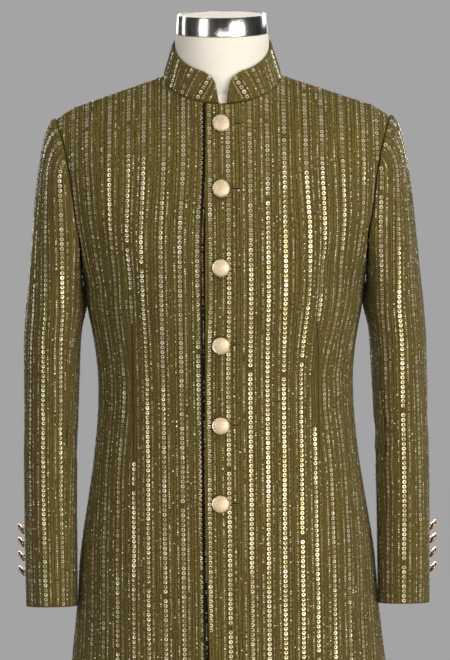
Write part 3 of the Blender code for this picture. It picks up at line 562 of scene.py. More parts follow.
# %% The front opening
def button_line(z):
    """Where the middle of the front opening runs: it leans a little as it falls."""
    return LINE_TOP_X - LINE_LEAN * (NECK_Z - NECK_DROP - np.maximum(z, BUTTON_HEIGHTS[-1]))


def front_edge(z, wearer_side):
    """The front edge, in the frame of its own half (x grows towards the side seam)."""
    swing = EDGE_SWING * ease((BUTTON_HEIGHTS[-1] - z) / EDGE_SWING_REACH) if wearer_side > 0 else 0.0
    return wearer_side * button_line(z) - OVERLAP + swing


def lapped(grid, wearer_side):
    """The upper front stands proud over the lower one, and its free edge lifts below the buttons."""
    x, z = grid[..., 0], grid[..., 2]
    edge = front_edge(z, wearer_side)
    blend = PLACKET_BLEND if wearer_side > 0 else RECESS_BLEND
    near = 1 - ease((x - edge - 2 * OVERLAP) / blend)
    below = ease((BUTTON_HEIGHTS[-1] - EDGE_LIFT_DROP - z) / EDGE_LIFT_REACH)
    free = EDGE_LIFT * below * (1 - ease((x - edge) / EDGE_LIFT_WIDTH))
    free = free + EDGE_CURL * np.clip(1 - (x - edge) / EDGE_CURL_WIDTH, 0, 1) ** 2
    moved = grid.copy()
    moved[..., 1] -= PLACKET_LIFT * near + free if wearer_side > 0 else -PLACKET_RECESS * near
    return moved


print("front edge at the waist:", round(float(front_edge(1.1, 1)), 4))

# %% [markdown]
# ## A dense body panel
# Level rings can be worked out at any height, so the dense grid takes as many as it wants. The
# yoke above them is drawn from the neckline and shoulder down to the last ring. Rows and columns
# crowd together at the borders, where the cloth turns under at a seam, so that the turn stays
# small and crisp.

# %% Fill a body panel with points
ROW_STEP = 0.0075
COLUMN_STEP = 0.0062
PANEL_WIDTH = 0.30
PANEL_COLUMNS = round(PANEL_WIDTH / COLUMN_STEP)
BORDER_STEPS = (0.0, 0.0008, 0.0022, 0.0045)
ARMHOLE_ROWS = 20
YOKE_ROWS = 18
YOKE_EVENING = 5
YOKE_HANDLE = 0.36
YOKE_CALM = 0.25
EVENED_FROM = 0.4
EVENED_OVER = 0.3
CORNER_FROM = 0.6


def crowded(length, step):
    """Places along a line that crowd together at both its ends."""
    edge = np.array(BORDER_STEPS)
    count = max(2, round(length / step))
    inner = np.linspace(edge[-1], length - edge[-1], count + 1)
    return np.concatenate([edge[:-1], inner, (length - edge[:-1])[::-1]])


def level_heights():
    skirt = HEM_Z + crowded(UNDERARM_Z - HEM_Z, ROW_STEP)
    angles = np.linspace(180.0, UPPER_PANEL_ANGLE, ARMHOLE_ROWS + 1)[1:]
    return np.concatenate([skirt, armhole(angles, FRONT)[:, 2]]), len(skirt) - 1


def column_shares(top, first, side):
    """How far round the ring each column stands, between the panel's two edges."""
    z = float(armhole(UPPER_PANEL_ANGLE, FRONT)[2])
    last = side_turn(z, side)
    straight = np.arcsin(np.clip(top[:, 0] / section("half_width", z), -1, 1))
    mixed = 0.5 * np.minimum(straight, last) + 0.5 * np.linspace(first, last, len(top))
    mixed[0], mixed[-1] = first, last
    return (mixed - first) / (last - first)


def arrival(top, side):
    """The way the cloth runs as it meets the neckline or rolls over the shoulder."""
    near_neck = ease((NECK_HALF_WIDTH + NECK_BLEND / 2 - np.abs(top[:, 0])) / NECK_BLEND)
    up = SHOULDER_RISE + near_neck * (FRONT_NECK_RISE if side == FRONT else BACK_NECK_RISE)
    return unit(np.stack([0 * up, -side * np.sqrt(1 - up ** 2), up], axis=-1))


def evened(row):
    """The row without the corner that the neck point would press into the cloth below it."""
    row = row.copy()
    near_point = ease((row[1:-1, :1] - NECK_HALF_WIDTH * EVENED_FROM) / (NECK_HALF_WIDTH * EVENED_OVER))
    for _ in range(YOKE_EVENING):
        row[1:-1] += 0.5 * near_point * ((row[:-2] + row[2:]) / 2 - row[1:-1])
    return row


def yoke_rows(base, below, top, side):
    """Rows from the last level ring up to the neckline and over the shoulder, and their shares."""
    reach = np.linalg.norm(top - base, axis=1, keepdims=True) * YOKE_HANDLE
    first_handle = base + unit(base - below) * reach
    last_handle = top - arrival(top, side) * reach
    long = float(reach.mean() / YOKE_HANDLE)
    shares = crowded(long, long / YOKE_ROWS)[len(BORDER_STEPS):] / long
    rows = []
    for t in shares:
        row = bezier(base, first_handle, last_handle, top, t)
        row[-1] = armhole(UPPER_PANEL_ANGLE * (1 - t), side)
        strength = min(1.0, t / YOKE_CALM, (1 - t) / YOKE_CALM)
        rows.append(row + strength * (evened(row) - row))
    return rows, shares


def smooth_row(row, corner):
    """A row with many columns; corner says how sharp it is at the neck point, from 0 to 1."""
    knots = lengths_along(row)
    leaving = np.gradient(row, knots, axis=0)
    arriving = leaving.copy()
    point = NECK_COLUMNS
    before = (row[point] - row[point - 1]) / (knots[point] - knots[point - 1])
    after = (row[point + 1] - row[point]) / (knots[point + 1] - knots[point])
    arriving[point] += corner * (before - arriving[point])
    leaving[point] += corner * (after - leaving[point])
    at = crowded(knots[-1], knots[-1] / PANEL_COLUMNS)
    span = np.clip(np.searchsorted(knots, at, side="right") - 1, 0, len(knots) - 2)
    width = (knots[span + 1] - knots[span])[:, None]
    t = (at[:, None] - knots[span, None]) / width
    rise = row[span + 1] - row[span]
    start, end = leaving[span] * width, arriving[span + 1] * width
    return row[span] + t * (start + t * (3 * rise - 2 * start - end + t * (start + end - 2 * rise)))


def panel_grid(side, edge_at):
    """The outer face of a body panel as a dense grid, and the row of its underarm point."""
    heights, seam_row = level_heights()
    neck_start = math.asin(float(edge_at(NECK_Z - NECK_DROP)) / NECK_HALF_WIDTH)
    top = top_edge(neck_start, side)

    def start_at(z):
        return math.asin(float(edge_at(z)) / float(section("half_width", z)))

    shares = column_shares(top, start_at(heights[-1]), side)

    def ring(z):
        return ring_point(start_at(z) + shares * (side_turn(z, side) - start_at(z)), z, side)

    below = ring(float(armhole(YOKE_START_ANGLE, FRONT)[2]))
    rows = [ring(z) for z in heights]
    upper, upper_shares = yoke_rows(rows[-1], below, top, side)
    corners = [0.0] * len(rows) + [float(ease((t - CORNER_FROM) / (1 - CORNER_FROM))) for t in upper_shares]
    grid = np.array([smooth_row(row, corner) for row, corner in zip(rows + upper, corners)])
    return grid, seam_row, len(heights) - 1


trial, _, _ = panel_grid(BACK, lambda z: 0.0 * z)
print("points in a body panel:", trial.shape[0], "by", trial.shape[1])

# %% [markdown]
# ## Grain, darts and folds
# The rows of sequins lie on the grain: they stay as far apart as they were woven and run straight
# down, so at the waist the outer ones lean in where a dart takes up cloth. Each point gets two
# numbers, how far it lies across the grain and how far up. The folds are placed on the same two
# numbers, soft and uneven, because a fitted coat on a form has only a few of them.

# %% Rows of sequins on each panel
ROW_SPACING = 0.0246
FRONT_LEFT_ROWS = (-0.0225, 0.0035, 0.0330, 0.0555, 0.0775, 0.1020, 0.1220, 0.1485, 0.1755)
FRONT_RIGHT_ROWS = (0.0355, 0.0580, 0.0835, 0.1065, 0.1275, 0.1535, 0.1785)
BACK_ROWS = (0.0123,)
SWING_PLACES = {1: (-0.020, 0.015, 0.080, 0.102, 0.122, 0.149, 0.176, 0.200),
                -1: (0.030, 0.085, 0.107, 0.128, 0.154, 0.178)}
CHEST_SWING = {1: (-0.0045, -0.0018, -0.0030, -0.0105, -0.0145, -0.0135, -0.0195, -0.0200),
               -1: (0.0000, -0.0005, -0.0045, -0.0030, -0.0010, -0.0060)}
SHOULDER_SWING = {1: (-0.0045, -0.0018, -0.0026, -0.0056, -0.0098, -0.0078, -0.0170, -0.0190),
                  -1: (0.0066, 0.0056, 0.0014, 0.0022, 0.0012, -0.0090)}
CHEST_SWING_Z = 1.10
SHOULDER_SWING_Z = 1.28
SWING_RISE = 0.14
SLEEVE_ROWS_FROM = {1: (0.0074,), -1: (0.0,)}
COLLAR_ROWS_FROM = (0.0060,)
DARTS = {
    FRONT: {"across": 0.1290, "top": 1.215, "waist": 1.095, "bottom": 0.965, "intake": 0.0100},
    BACK: {"across": 0.1090, "top": 1.200, "waist": 1.105, "bottom": 0.960, "intake": 0.0120},
}
DART_FOLD = 0.004
DART_ENDS = 4
DART_UNSEWN = 0.0015
ROWS_BEFORE = 12
ROWS_AFTER = 19


def row_number(across, known):
    """Counts rows of sequins across the grain; the known places carry on at an even spacing."""
    before = known[0] - ROW_SPACING * np.arange(ROWS_BEFORE, 0, -1)
    after = known[-1] + ROW_SPACING * np.arange(1, ROWS_AFTER + 1)
    places = np.concatenate([before, known, after])
    return np.interp(across, places, np.arange(len(places)) - len(before))


def grain_across(grid, last_level):
    """How far each point lies across the grain from the centre line; upright above the rings."""
    across = np.empty(grid.shape[:2])
    for row in range(last_level + 1):
        run = lengths_along(grid[row])
        across[row] = run - np.interp(0.0, grid[row, :, 0], run)
    x, known = grid[last_level, :, 0], across[last_level]
    slope = (known[-1] - known[-4]) / (x[-1] - x[-4])
    for row in range(last_level + 1, len(grid)):
        here = grid[row, :, 0]
        past = slope * np.maximum(here - x[-1], 0)
        across[row] = np.interp(here, x, known) + past + np.minimum(here - x[0], 0)
    return across


def taken_in(z, dart):
    """How much cloth the dart takes up at that height."""
    above = ease((dart["top"] - z) / (dart["top"] - dart["waist"]))
    below = ease((z - dart["bottom"]) / (dart["waist"] - dart["bottom"]))
    return dart["intake"] * np.where(z > dart["waist"], above, below)


def grain_up(grid):
    steps = np.linalg.norm(np.diff(grid, axis=0), axis=-1)
    return np.concatenate([np.zeros((1, grid.shape[1])), np.cumsum(steps, axis=0)])


print("rows given for the left front:", len(FRONT_LEFT_ROWS))

# %% Folds placed one by one
# Each fold: across and height where it starts, across and height where it ends, half width, depth.
FOLDS = {
    "front": (
        (0.148, 1.300, 0.118, 1.125, 0.015, -0.0040),
        (0.172, 1.270, 0.146, 1.110, 0.010, 0.0026),
        (0.190, 1.262, 0.162, 1.125, 0.008, -0.0034),
        (0.206, 1.225, 0.186, 1.105, 0.008, 0.0022),
        (0.128, 1.425, 0.112, 1.315, 0.020, -0.0016),
        (0.182, 1.405, 0.176, 1.330, 0.012, -0.0018),
        (0.085, 1.118, 0.205, 1.096, 0.010, -0.0012),
        (0.120, 1.070, 0.225, 1.052, 0.012, -0.0014),
        (0.020, 1.190, 0.070, 1.150, 0.018, -0.0008),
        (0.060, 0.950, 0.074, 0.430, 0.026, -0.0022),
        (0.118, 0.920, 0.138, 0.430, 0.024, 0.0026),
        (0.182, 0.900, 0.206, 0.430, 0.026, -0.0030),
        (0.236, 0.880, 0.262, 0.430, 0.022, 0.0022),
        (0.022, 0.800, 0.030, 0.430, 0.018, 0.0014),
    ),
    "back": (
        (0.165, 1.330, 0.128, 1.150, 0.018, -0.0028),
        (0.196, 1.260, 0.166, 1.130, 0.012, 0.0020),
        (0.040, 1.440, 0.090, 1.350, 0.020, -0.0012),
        (0.060, 1.125, 0.190, 1.104, 0.011, -0.0016),
        (0.030, 1.085, 0.150, 1.068, 0.013, -0.0013),
        (0.052, 0.960, 0.060, 0.430, 0.026, -0.0026),
        (0.116, 0.930, 0.130, 0.430, 0.024, 0.0028),
        (0.176, 0.900, 0.196, 0.430, 0.026, -0.0028),
        (0.232, 0.880, 0.256, 0.430, 0.022, 0.0024),
    ),
    "sleeve_top": (
        (0.052, 1.330, 0.044, 1.165, 0.012, -0.0026),
        (0.070, 1.255, 0.060, 1.120, 0.009, 0.0016),
        (-0.030, 1.340, -0.040, 1.190, 0.016, -0.0018),
        (0.010, 1.290, 0.012, 1.060, 0.022, -0.0016),
        (0.020, 1.062, 0.092, 1.020, 0.010, -0.0026),
        (0.030, 1.022, 0.092, 0.992, 0.008, -0.0020),
        (0.036, 0.985, 0.092, 0.966, 0.008, 0.0014),
        (0.010, 0.950, 0.070, 0.930, 0.011, -0.0012),
        (-0.036, 1.050, -0.080, 1.010, 0.014, -0.0014),
        (0.004, 0.930, 0.010, 0.800, 0.020, 0.0012),
    ),
    "sleeve_under": (
        (-0.088, 1.040, -0.020, 1.006, 0.010, -0.0024),
        (-0.088, 1.000, -0.030, 0.976, 0.009, -0.0018),
        (-0.010, 1.170, 0.010, 1.060, 0.014, -0.0018),
        (0.040, 1.090, 0.070, 0.990, 0.014, -0.0016),
        (0.020, 0.960, 0.030, 0.810, 0.018, 0.0012),
    ),
    "collar": (),
}
LEFT_HAND = {"strength": 1.0, "shift": 0.0}
RIGHT_HAND = {"strength": 0.82, "shift": 0.009}
FOLD_START = 0.28
FOLD_END = 0.34
SHIFT_UP = 0.6
EDGE_CALM = 0.02
HEM_CALM_START = 0.6
CUFF_CALM_START = 0.5


def fold_depth(across, z, folds, hand):
    """How far the folds push the cloth out at each point."""
    depth = np.zeros_like(across)
    for number, (u0, z0, u1, z1, width, push) in enumerate(folds):
        moved = hand["shift"] * (1 if number % 2 else -1)
        run = np.array([u1 - u0, z1 - z0])
        long = np.hypot(*run)
        away = np.stack([across - u0 - moved, z - z0 - SHIFT_UP * moved], axis=-1)
        along = away @ run / long ** 2
        beside = (away[..., 0] * run[1] - away[..., 1] * run[0]) / long
        ends = ease(along / FOLD_START) * ease((1 - along) / FOLD_END)
        depth += hand["strength"] * push * ends * np.exp(-(beside / width) ** 2)
    return depth


def calmed(z, edge, start):
    """Folds flatten towards the sewn-up hem or cuff."""
    return ease((z - edge) / EDGE_CALM + start)


print("folds on a front:", len(FOLDS["front"]))

# %% [markdown]
# ## A panel becomes cloth
# Cloth has two sides, so each panel is a thin shell: an outer face of sequin cloth, an inner face
# of lining, and a narrow strip round the border. At a seam the outer face turns under, and two
# turned borders side by side make the fine dark line that tells a seam from a drawn one. Sleeves
# and collar reach a little behind the body there, as a seam allowance does.

# %% Build a cloth shell
CLOTH_THICKNESS = 0.0016
SEAM_TURN = {"radius": 0.0040, "depth": 0.00115}
EDGE_TURN = {"radius": 0.0022, "depth": 0.00060}
ALLOWANCE = 0.0028
ALLOWANCE_DEPTH = 0.0010


def grid_normals(grid, outward):
    across = np.gradient(grid, axis=1)
    upward = np.gradient(grid, axis=0)
    return unit(np.cross(across, upward)) * outward


def turned_under(grid, normals, borders):
    """The outer face with its borders rolled in: borders maps a side's name to how it turns."""
    along = np.array([lengths_along(row) for row in grid])
    up = grain_up(grid)
    away = {"first": along, "last": along[:, -1:] - along, "bottom": up, "top": up[-1:] - up}
    sunk = np.zeros(grid.shape[:2])
    for border, turn in borders.items():
        near = np.clip(1 - away[border] / turn["radius"], 0.0, 1.0)
        sunk = np.maximum(sunk, turn["depth"] * (1 - np.sqrt(1 - near ** 2)))
    return grid - normals * sunk[..., None]


def quad_grid(rows, columns, offset):
    """The corner numbers of a grid's faces."""
    first = np.arange(rows - 1)[:, None] * columns + np.arange(columns - 1)[None, :] + offset
    first = first.reshape(-1)
    return np.stack([first, first + 1, first + columns + 1, first + columns], axis=1)


def border_quads(rows, columns):
    count = rows * columns
    bottom = np.arange(columns)
    right = np.arange(1, rows) * columns + columns - 1
    top = (rows - 1) * columns + np.arange(columns - 2, -1, -1)
    left = np.arange(rows - 2, 0, -1) * columns
    loop = np.concatenate([bottom, right, top, left])
    after = np.roll(loop, -1)
    return np.stack([loop, loop + count, after + count, after], axis=1)


def add_map(mesh, name, values):
    """A map on the mesh: two numbers for each point."""
    layer = mesh.uv_layers.new(name=name)
    corners = np.empty(len(mesh.loops), dtype=np.int32)
    mesh.loops.foreach_get("vertex_index", corners)
    layer.data.foreach_set("uv", values[corners].astype(np.float32).reshape(-1))


def add_piece(name, mesh):
    piece = bpy.data.objects.new(name, mesh)
    bpy.context.scene.collection.objects.link(piece)
    return piece


def cloth_shell(name, outer, inner, grain, dart, outward):
    """A closed shell between two grids: sequin cloth outside and on the border, lining inside."""
    rows, columns = outer.shape[:2]
    count = rows * columns
    faces = [quad_grid(rows, columns, 0), quad_grid(rows, columns, count)[:, ::-1],
             border_quads(rows, columns)]
    if not outward:
        faces = [part[:, ::-1] for part in faces]
    looks = np.concatenate([np.zeros(len(faces[0])), np.ones(len(faces[1])), np.zeros(len(faces[2]))])
    mesh = bpy.data.meshes.new(name)
    points = np.concatenate([outer.reshape(-1, 3), inner.reshape(-1, 3)])
    mesh.from_pydata(points.tolist(), [], np.concatenate(faces).tolist())
    mesh.materials.append(olive_cloth)
    mesh.materials.append(olive_lining)
    mesh.polygons.foreach_set("material_index", looks.astype(np.int32))
    for map_name, values in (("grain", grain), ("dart", dart)):
        flat = values.reshape(-1, 2)
        add_map(mesh, map_name, np.concatenate([flat, flat]))
    mesh.shade_smooth()
    mesh.update()
    return add_piece(name, mesh)


panels = {}


def keep_panel(name, outer, inner, normals, grain, dart, sewable, outward):
    """Makes the shell and keeps what the sewing needs to know of it."""
    piece = cloth_shell(name, outer, inner, grain, dart, outward)
    panels[name] = {"piece": piece, "outer": outer, "normals": normals, "grain": grain, "sewable": sewable}


print("seam turns in by", SEAM_TURN["depth"] * 1000, "mm")

# %% [markdown]
# ## The body of the coat
# Two fronts and two backs. The left and right of a pair are worked out in one frame and the right
# one is mirrored, but they aren't copies: the left front laps over the right one, and the folds
# differ a little in strength and place.

# %% Dress the body
MIRROR = np.array([-1.0, 1.0, 1.0])
HALVES = {"left": 1, "right": -1}


def shared_normals(front, back, seam_row):
    """Front and back share one outward direction along the side seam and the shoulder seam."""
    side = unit(front[:seam_row + 1, -1] + back[:seam_row + 1, -1])
    front[:seam_row + 1, -1] = side
    back[:seam_row + 1, -1] = side
    back[:, 0, 0] = 0.0
    back[:] = unit(back)


def swung(across, z, wearer_side):
    """How far the rows swing from their places at the waist, at the chest and at the shoulder."""
    chest = np.interp(across, SWING_PLACES[wearer_side], CHEST_SWING[wearer_side])
    shoulder = np.interp(across, SWING_PLACES[wearer_side], SHOULDER_SWING[wearer_side])
    rising = ease((z - SHOULDER_SWING_Z) / SWING_RISE)
    return ease((z - CHEST_SWING_Z) / SWING_RISE) * (chest + (shoulder - chest) * rising)


def body_panel(name, grid, normals, last_level, side, wearer_side, known_rows):
    hand = LEFT_HAND if wearer_side > 0 else RIGHT_HAND
    dart = DARTS[side]
    across = grain_across(grid, last_level)
    z = grid[..., 2]
    cut = across + taken_in(z, dart) * ease((across - dart["across"]) / DART_FOLD + 0.5)
    if side == FRONT:
        cut = cut + swung(across, z, wearer_side)
    depth = fold_depth(across, z, FOLDS[side_name(side)], hand) * calmed(z, HEM_Z, HEM_CALM_START)
    grid = grid + normals * depth[..., None]
    if side == FRONT:
        grid = lapped(grid, wearer_side)
    first = EDGE_TURN if side == FRONT else SEAM_TURN
    borders = {"first": first, "last": SEAM_TURN, "bottom": EDGE_TURN, "top": SEAM_TURN}
    outer = turned_under(grid, normals, borders)
    inner = grid - normals * CLOTH_THICKNESS
    gap = np.zeros_like(grid)
    gap[:, -1] = unit(grid[:, -2] - grid[:, -1]) * SEAM_GAP / 2
    gap[-1] += unit(grid[-2] - grid[-1]) * SEAM_GAP / 2
    if side == BACK:
        gap[:, 0] += unit(grid[:, 1] - grid[:, 0]) * SEAM_GAP / 2
    outer, inner = outer + gap, inner + gap
    rows = row_number(cut, known_rows)
    grain = np.stack([rows, grain_up(grid)], axis=-1)
    reach = np.clip(taken_in(z, dart) / dart["intake"] * DART_ENDS, 0, 1)
    dart_and_lap_shade_map = np.stack([(across - dart["across"]) / MILLIMETRE, reach], axis=-1)
    # On the right front the dart map carries a painted shadow: full under the lap and just past its edge,
    # then fading.
    if side == FRONT and wearer_side < 0:
        past_lap = grid[..., 0] + front_edge(z, 1)
        painted_lap_shade = 1 - ease((past_lap - LAP_SHADE) / LAP_SHADE_FADE)
        dart_and_lap_shade_map = np.where(painted_lap_shade[..., None] > 0, np.stack([0 * z, painted_lap_shade], axis=-1), dart_and_lap_shade_map)
    beside_dart = (np.abs(across - dart["across"]) > DART_FOLD) | (taken_in(z, dart) < DART_UNSEWN)
    if wearer_side < 0:
        outer, inner, normals = outer * MIRROR, inner * MIRROR, normals * MIRROR
    outward = (side == FRONT) == (wearer_side > 0)
    keep_panel(name, outer, inner, normals, grain, dart_and_lap_shade_map, beside_dart, outward)


def dress_body():
    for half, wearer_side in HALVES.items():
        front, seam_row, last_level = panel_grid(FRONT, lambda z, half=wearer_side: front_edge(z, half))
        back, _, _ = panel_grid(BACK, lambda z: 0.0 * z)
        front_normals = grid_normals(front, 1)
        back_normals = grid_normals(back, -1)
        shared_normals(front_normals, back_normals, seam_row)
        front_rows = FRONT_LEFT_ROWS if wearer_side > 0 else FRONT_RIGHT_ROWS
        body_panel("front_cloth_" + half, front, front_normals, last_level, FRONT, wearer_side, front_rows)
        body_panel("back_cloth_" + half, back, back_normals, last_level, BACK, wearer_side, BACK_ROWS)


dress_body()
print("body panels:", {name: len(panel["piece"].data.polygons) for name, panel in panels.items()})

# %% [markdown]
# ## Sleeves
# A tailored sleeve has two parts, a broad top one and a narrower under one, with seams at the
# front and back of the arm. The head of the sleeve is drawn from the armhole outwards with soft
# curves, and below it the arm bends gently forward. The rows of sequins stay upright on the head
# and end one after the other at the armhole seam, as they do on cloth cut along its grain.

# %% The sleeve's shape
SLEEVE_COLUMNS = ("height", "centre_x", "centre_y", "half_width", "half_depth")
SLEEVE_SECTIONS = (
    (785, 238.2, -28.5, 34.8, 52),
    (855, 238.0, -22, 35.1, 55),
    (924, 238.0, -15, 35.4, 58),
    (992, 237.0, -8, 36.0, 61),
    (1033, 235.8, -4, 36.2, 63),
    (1100, 233.8, 0, 37.2, 66),
    (1152, 231.8, 2, 38.2, 69),
    (1194, 227.6, 2, 39.2, 71),
)
SLEEVE_TOP_Z = 1.194
CUFF_SLOPE = 0.20
CUFF_SLOPE_TOP_Z = 0.920
UNDERARM_TUCK = 0.0065
UNDERARM_TUCK_Z = 1.150
UNDERARM_TUCK_ANGLE = 205.0
UNDERARM_TUCK_SPREAD = 24.0
HEAD_COLUMNS = ("angle", "leave_x", "leave_y", "leave_z", "arrive_x", "arrive_z")
HEAD = (
    (0, 18, 0, 6, -14, 164),
    (45, 18, -12, -10, -12, 100),
    (90, 14, -9, -26, -8, 52),
    (135, 5, -6, -22, -1, 26),
    (180, 1, 0, -14, 0, 14),
    (225, 5, 6, -22, -1, 26),
    (270, 14, 9, -26, -8, 52),
    (315, 18, 12, -10, -12, 100),
    (360, 18, 0, 6, -14, 164),
)
SLEEVE_PARTS = {
    "sleeve_top": {"from": -43.5, "to": 134.0},
    "sleeve_under": {"from": 134.0, "to": 316.5},
}
HEAD_ROWS = 26
HEAD_LENGTH = 0.17
SLEEVE_ANGLE_STEP = 5.5
BORDER_DEGREES_PER_MILLIMETRE = 1.1
NORMAL_STEP = 2.0
STEEPEST_UPRIGHT = 0.999
UPRIGHT_FROM_Z = 1.37
UPRIGHT_BLEND = 0.09


def head_value(name, angle):
    table = np.asarray(HEAD, dtype=float)
    return smooth_curve(table[:, 0], table[:, HEAD_COLUMNS.index(name)] * MILLIMETRE, np.mod(angle, 360.0))


def sleeve_sizes(z):
    return [read_table(SLEEVE_SECTIONS, SLEEVE_COLUMNS, name, z) for name in SLEEVE_COLUMNS[1:]]


def sleeve_section(angle, z):
    turn = np.radians(angle)
    centre_x, centre_y, half_width, half_depth = sleeve_sizes(z)
    forward = half_depth * np.sin(turn)
    slope = CUFF_SLOPE * ease((CUFF_SLOPE_TOP_Z - z) / (CUFF_SLOPE_TOP_Z - CUFF_Z))
    tucked = UNDERARM_TUCK * ease((z - UNDERARM_TUCK_Z) / (SLEEVE_TOP_Z - UNDERARM_TUCK_Z))
    from_tuck = (np.mod(angle, 360.0) - UNDERARM_TUCK_ANGLE) / UNDERARM_TUCK_SPREAD
    x = centre_x + half_width * np.cos(turn) - tucked * np.exp(-from_tuck ** 2)
    return np.stack([x, centre_y - forward, z + slope * forward], axis=-1)


def armhole_loop(angle):
    angle = np.mod(angle, 360.0)
    return np.where((angle <= 180.0)[:, None], armhole(angle, FRONT), armhole(angle, BACK))


def sleeve_grid(angle, head_shares, heights):
    """The outer face of a sleeve, row by row from the armhole down to the cuff."""
    start = armhole_loop(angle) + np.array([SEAM_GAP, 0, 0])
    end = sleeve_section(angle, SLEEVE_TOP_Z)
    leave = np.stack([head_value("leave_" + axis, angle) for axis in "xyz"], axis=-1)
    arrive = np.stack([head_value("arrive_x", angle), 0 * angle, head_value("arrive_z", angle)], axis=-1)
    rows = [bezier(start, start + leave, end + arrive, end, t) for t in head_shares]
    rows += [sleeve_section(angle, z) for z in heights]
    return np.array(rows)


def turn_round_arm(points, low):
    """How far round the arm a point lies, in degrees from low upwards. On the head it goes by depth
    alone, which keeps the grain upright there."""
    _, centre_y, _, half_depth = sleeve_sizes(SLEEVE_TOP_Z)
    centre_x, _, half_width, _ = sleeve_sizes(SLEEVE_TOP_Z)
    forward = (centre_y - points[..., 1]) / half_depth
    outward = (points[..., 0] - centre_x) / half_width
    round_arm = np.degrees(np.arctan2(forward, outward))
    upright = np.degrees(np.arcsin(np.clip(forward, -STEEPEST_UPRIGHT, STEEPEST_UPRIGHT)))
    round_arm = np.mod(round_arm - low, 360.0) + low
    upright = np.mod(upright - low, 360.0) + low
    share = ease((points[..., 2] - UPRIGHT_FROM_Z) / UPRIGHT_BLEND)
    return round_arm + share * (upright - round_arm)


def sleeve_across(grid, angle, head_count, low):
    """How far each point lies across the grain from the middle of its sleeve part."""
    across = np.empty(grid.shape[:2])
    middle = (angle[0] + angle[-1]) / 2
    for row in range(head_count, len(grid)):
        run = lengths_along(grid[row])
        across[row] = run - np.interp(middle, angle, run)
    known = across[head_count]
    turns = turn_round_arm(grid[:head_count], low)
    across[:head_count] = np.interp(turns, angle, known)
    beyond = np.maximum(turns - angle[-1], 0) - np.maximum(angle[0] - turns, 0)
    across[:head_count] += beyond * (known[-1] - known[0]) / (angle[-1] - angle[0])
    return across


print("sleeve length from shoulder to cuff:", round(SHOULDER_Z - CUFF_Z, 3))


# %% Dress the arms
def sleeve_angles(part):
    """Angles round a sleeve part, crowded at its two seams."""
    edge = np.array(BORDER_STEPS) / MILLIMETRE * BORDER_DEGREES_PER_MILLIMETRE
    first, last = part["from"], part["to"]
    count = round((last - first) / SLEEVE_ANGLE_STEP)
    inner = np.linspace(first + edge[-1], last - edge[-1], count + 1)
    return np.concatenate([first + edge[:-1], inner, (last - edge[:-1])[::-1]])


def dress_arms():
    shares = crowded(HEAD_LENGTH, HEAD_LENGTH / HEAD_ROWS)[:-len(BORDER_STEPS)] / HEAD_LENGTH
    below = SLEEVE_TOP_Z - crowded(SLEEVE_TOP_Z - CUFF_Z, ROW_STEP)
    heights = np.concatenate([[SLEEVE_TOP_Z], below[len(BORDER_STEPS):]])
    for part_name, part in SLEEVE_PARTS.items():
        angle = sleeve_angles(part)
        grid = sleeve_grid(angle, shares, heights)
        after = sleeve_grid(angle + NORMAL_STEP, shares, heights)
        beside = after - sleeve_grid(angle - NORMAL_STEP, shares, heights)
        normals = unit(np.cross(np.gradient(grid, axis=0), beside)) * -1
        low = part["from"] - (360.0 - part["to"] + part["from"]) / 2
        across = sleeve_across(grid, angle, len(shares), low)
        for half, wearer_side in HALVES.items():
            sleeve_part(part_name, half, wearer_side, grid, normals, across)


def sleeve_part(part_name, half, wearer_side, grid, normals, across):
    hand = LEFT_HAND if wearer_side > 0 else RIGHT_HAND
    z = grid[..., 2]
    depth = fold_depth(across, z, FOLDS[part_name], hand) * calmed(z, CUFF_Z, CUFF_CALM_START)
    folded = grid + normals * depth[..., None]
    borders = {"first": SEAM_TURN, "last": SEAM_TURN, "bottom": SEAM_TURN, "top": EDGE_TURN}
    outer = turned_under(folded, normals, borders)
    inner = folded - normals * CLOTH_THICKNESS
    inner[0] += unit(folded[0] - folded[1]) * ALLOWANCE - normals[0] * ALLOWANCE_DEPTH
    gap = np.zeros_like(grid)
    for column, beside in ((0, 1), (-1, -2)):
        gap[:, column] = unit(grid[:, beside] - grid[:, column]) * SEAM_GAP / 2
    outer, inner = outer + gap, inner + gap
    grain = np.stack([row_number(across, SLEEVE_ROWS_FROM[wearer_side]), -grain_up(folded)], axis=-1)
    dart_and_lap_shade_map = np.zeros_like(grain)
    if wearer_side < 0:
        outer, inner, normals = outer * MIRROR, inner * MIRROR, normals * MIRROR
    name = part_name.replace("_", "_cloth_") + "_" + half
    sewable = np.ones(z.shape, dtype=bool)
    keep_panel(name, outer, inner, normals, grain, dart_and_lap_shade_map, sewable, wearer_side > 0)


dress_arms()
print("sleeve parts:", [name for name in panels if name.startswith("sleeve")])

# %% [markdown]
# ## Collar
# The stand collar is one band, stiffened inside, that leans in towards the neck. Near the front its
# top edge falls to rounded corners, and the ends flare a little, so the gap over the top button
# widens upwards. The band is cut straight but sewn to a curve, so its grain leans at the front.

# %% Dress the neck
COLLAR_HEIGHT = 0.0415
COLLAR_NAPE_HEIGHT = 0.037
COLLAR_FRONT_HEIGHT = 0.0375
COLLAR_TOP_HALF_WIDTH = 0.0655
COLLAR_TOP_FRONT = 0.0655
COLLAR_TOP_BACK = 0.0645
COLLAR_CORNER = 0.009
COLLAR_END_LENGTH = 0.026
COLLAR_END_SLOPE = 0.27
COLLAR_FLARE = 0.007
COLLAR_FLARE_LENGTH = 0.030
COLLAR_GAP = 0.0102
COLLAR_GRAIN_LEAN = 0.58
COLLAR_GRAIN_REACH = 0.085
COLLAR_THICKNESS = 0.0024
COLLAR_STEP = 0.0042
COLLAR_LIFT = 0.0008


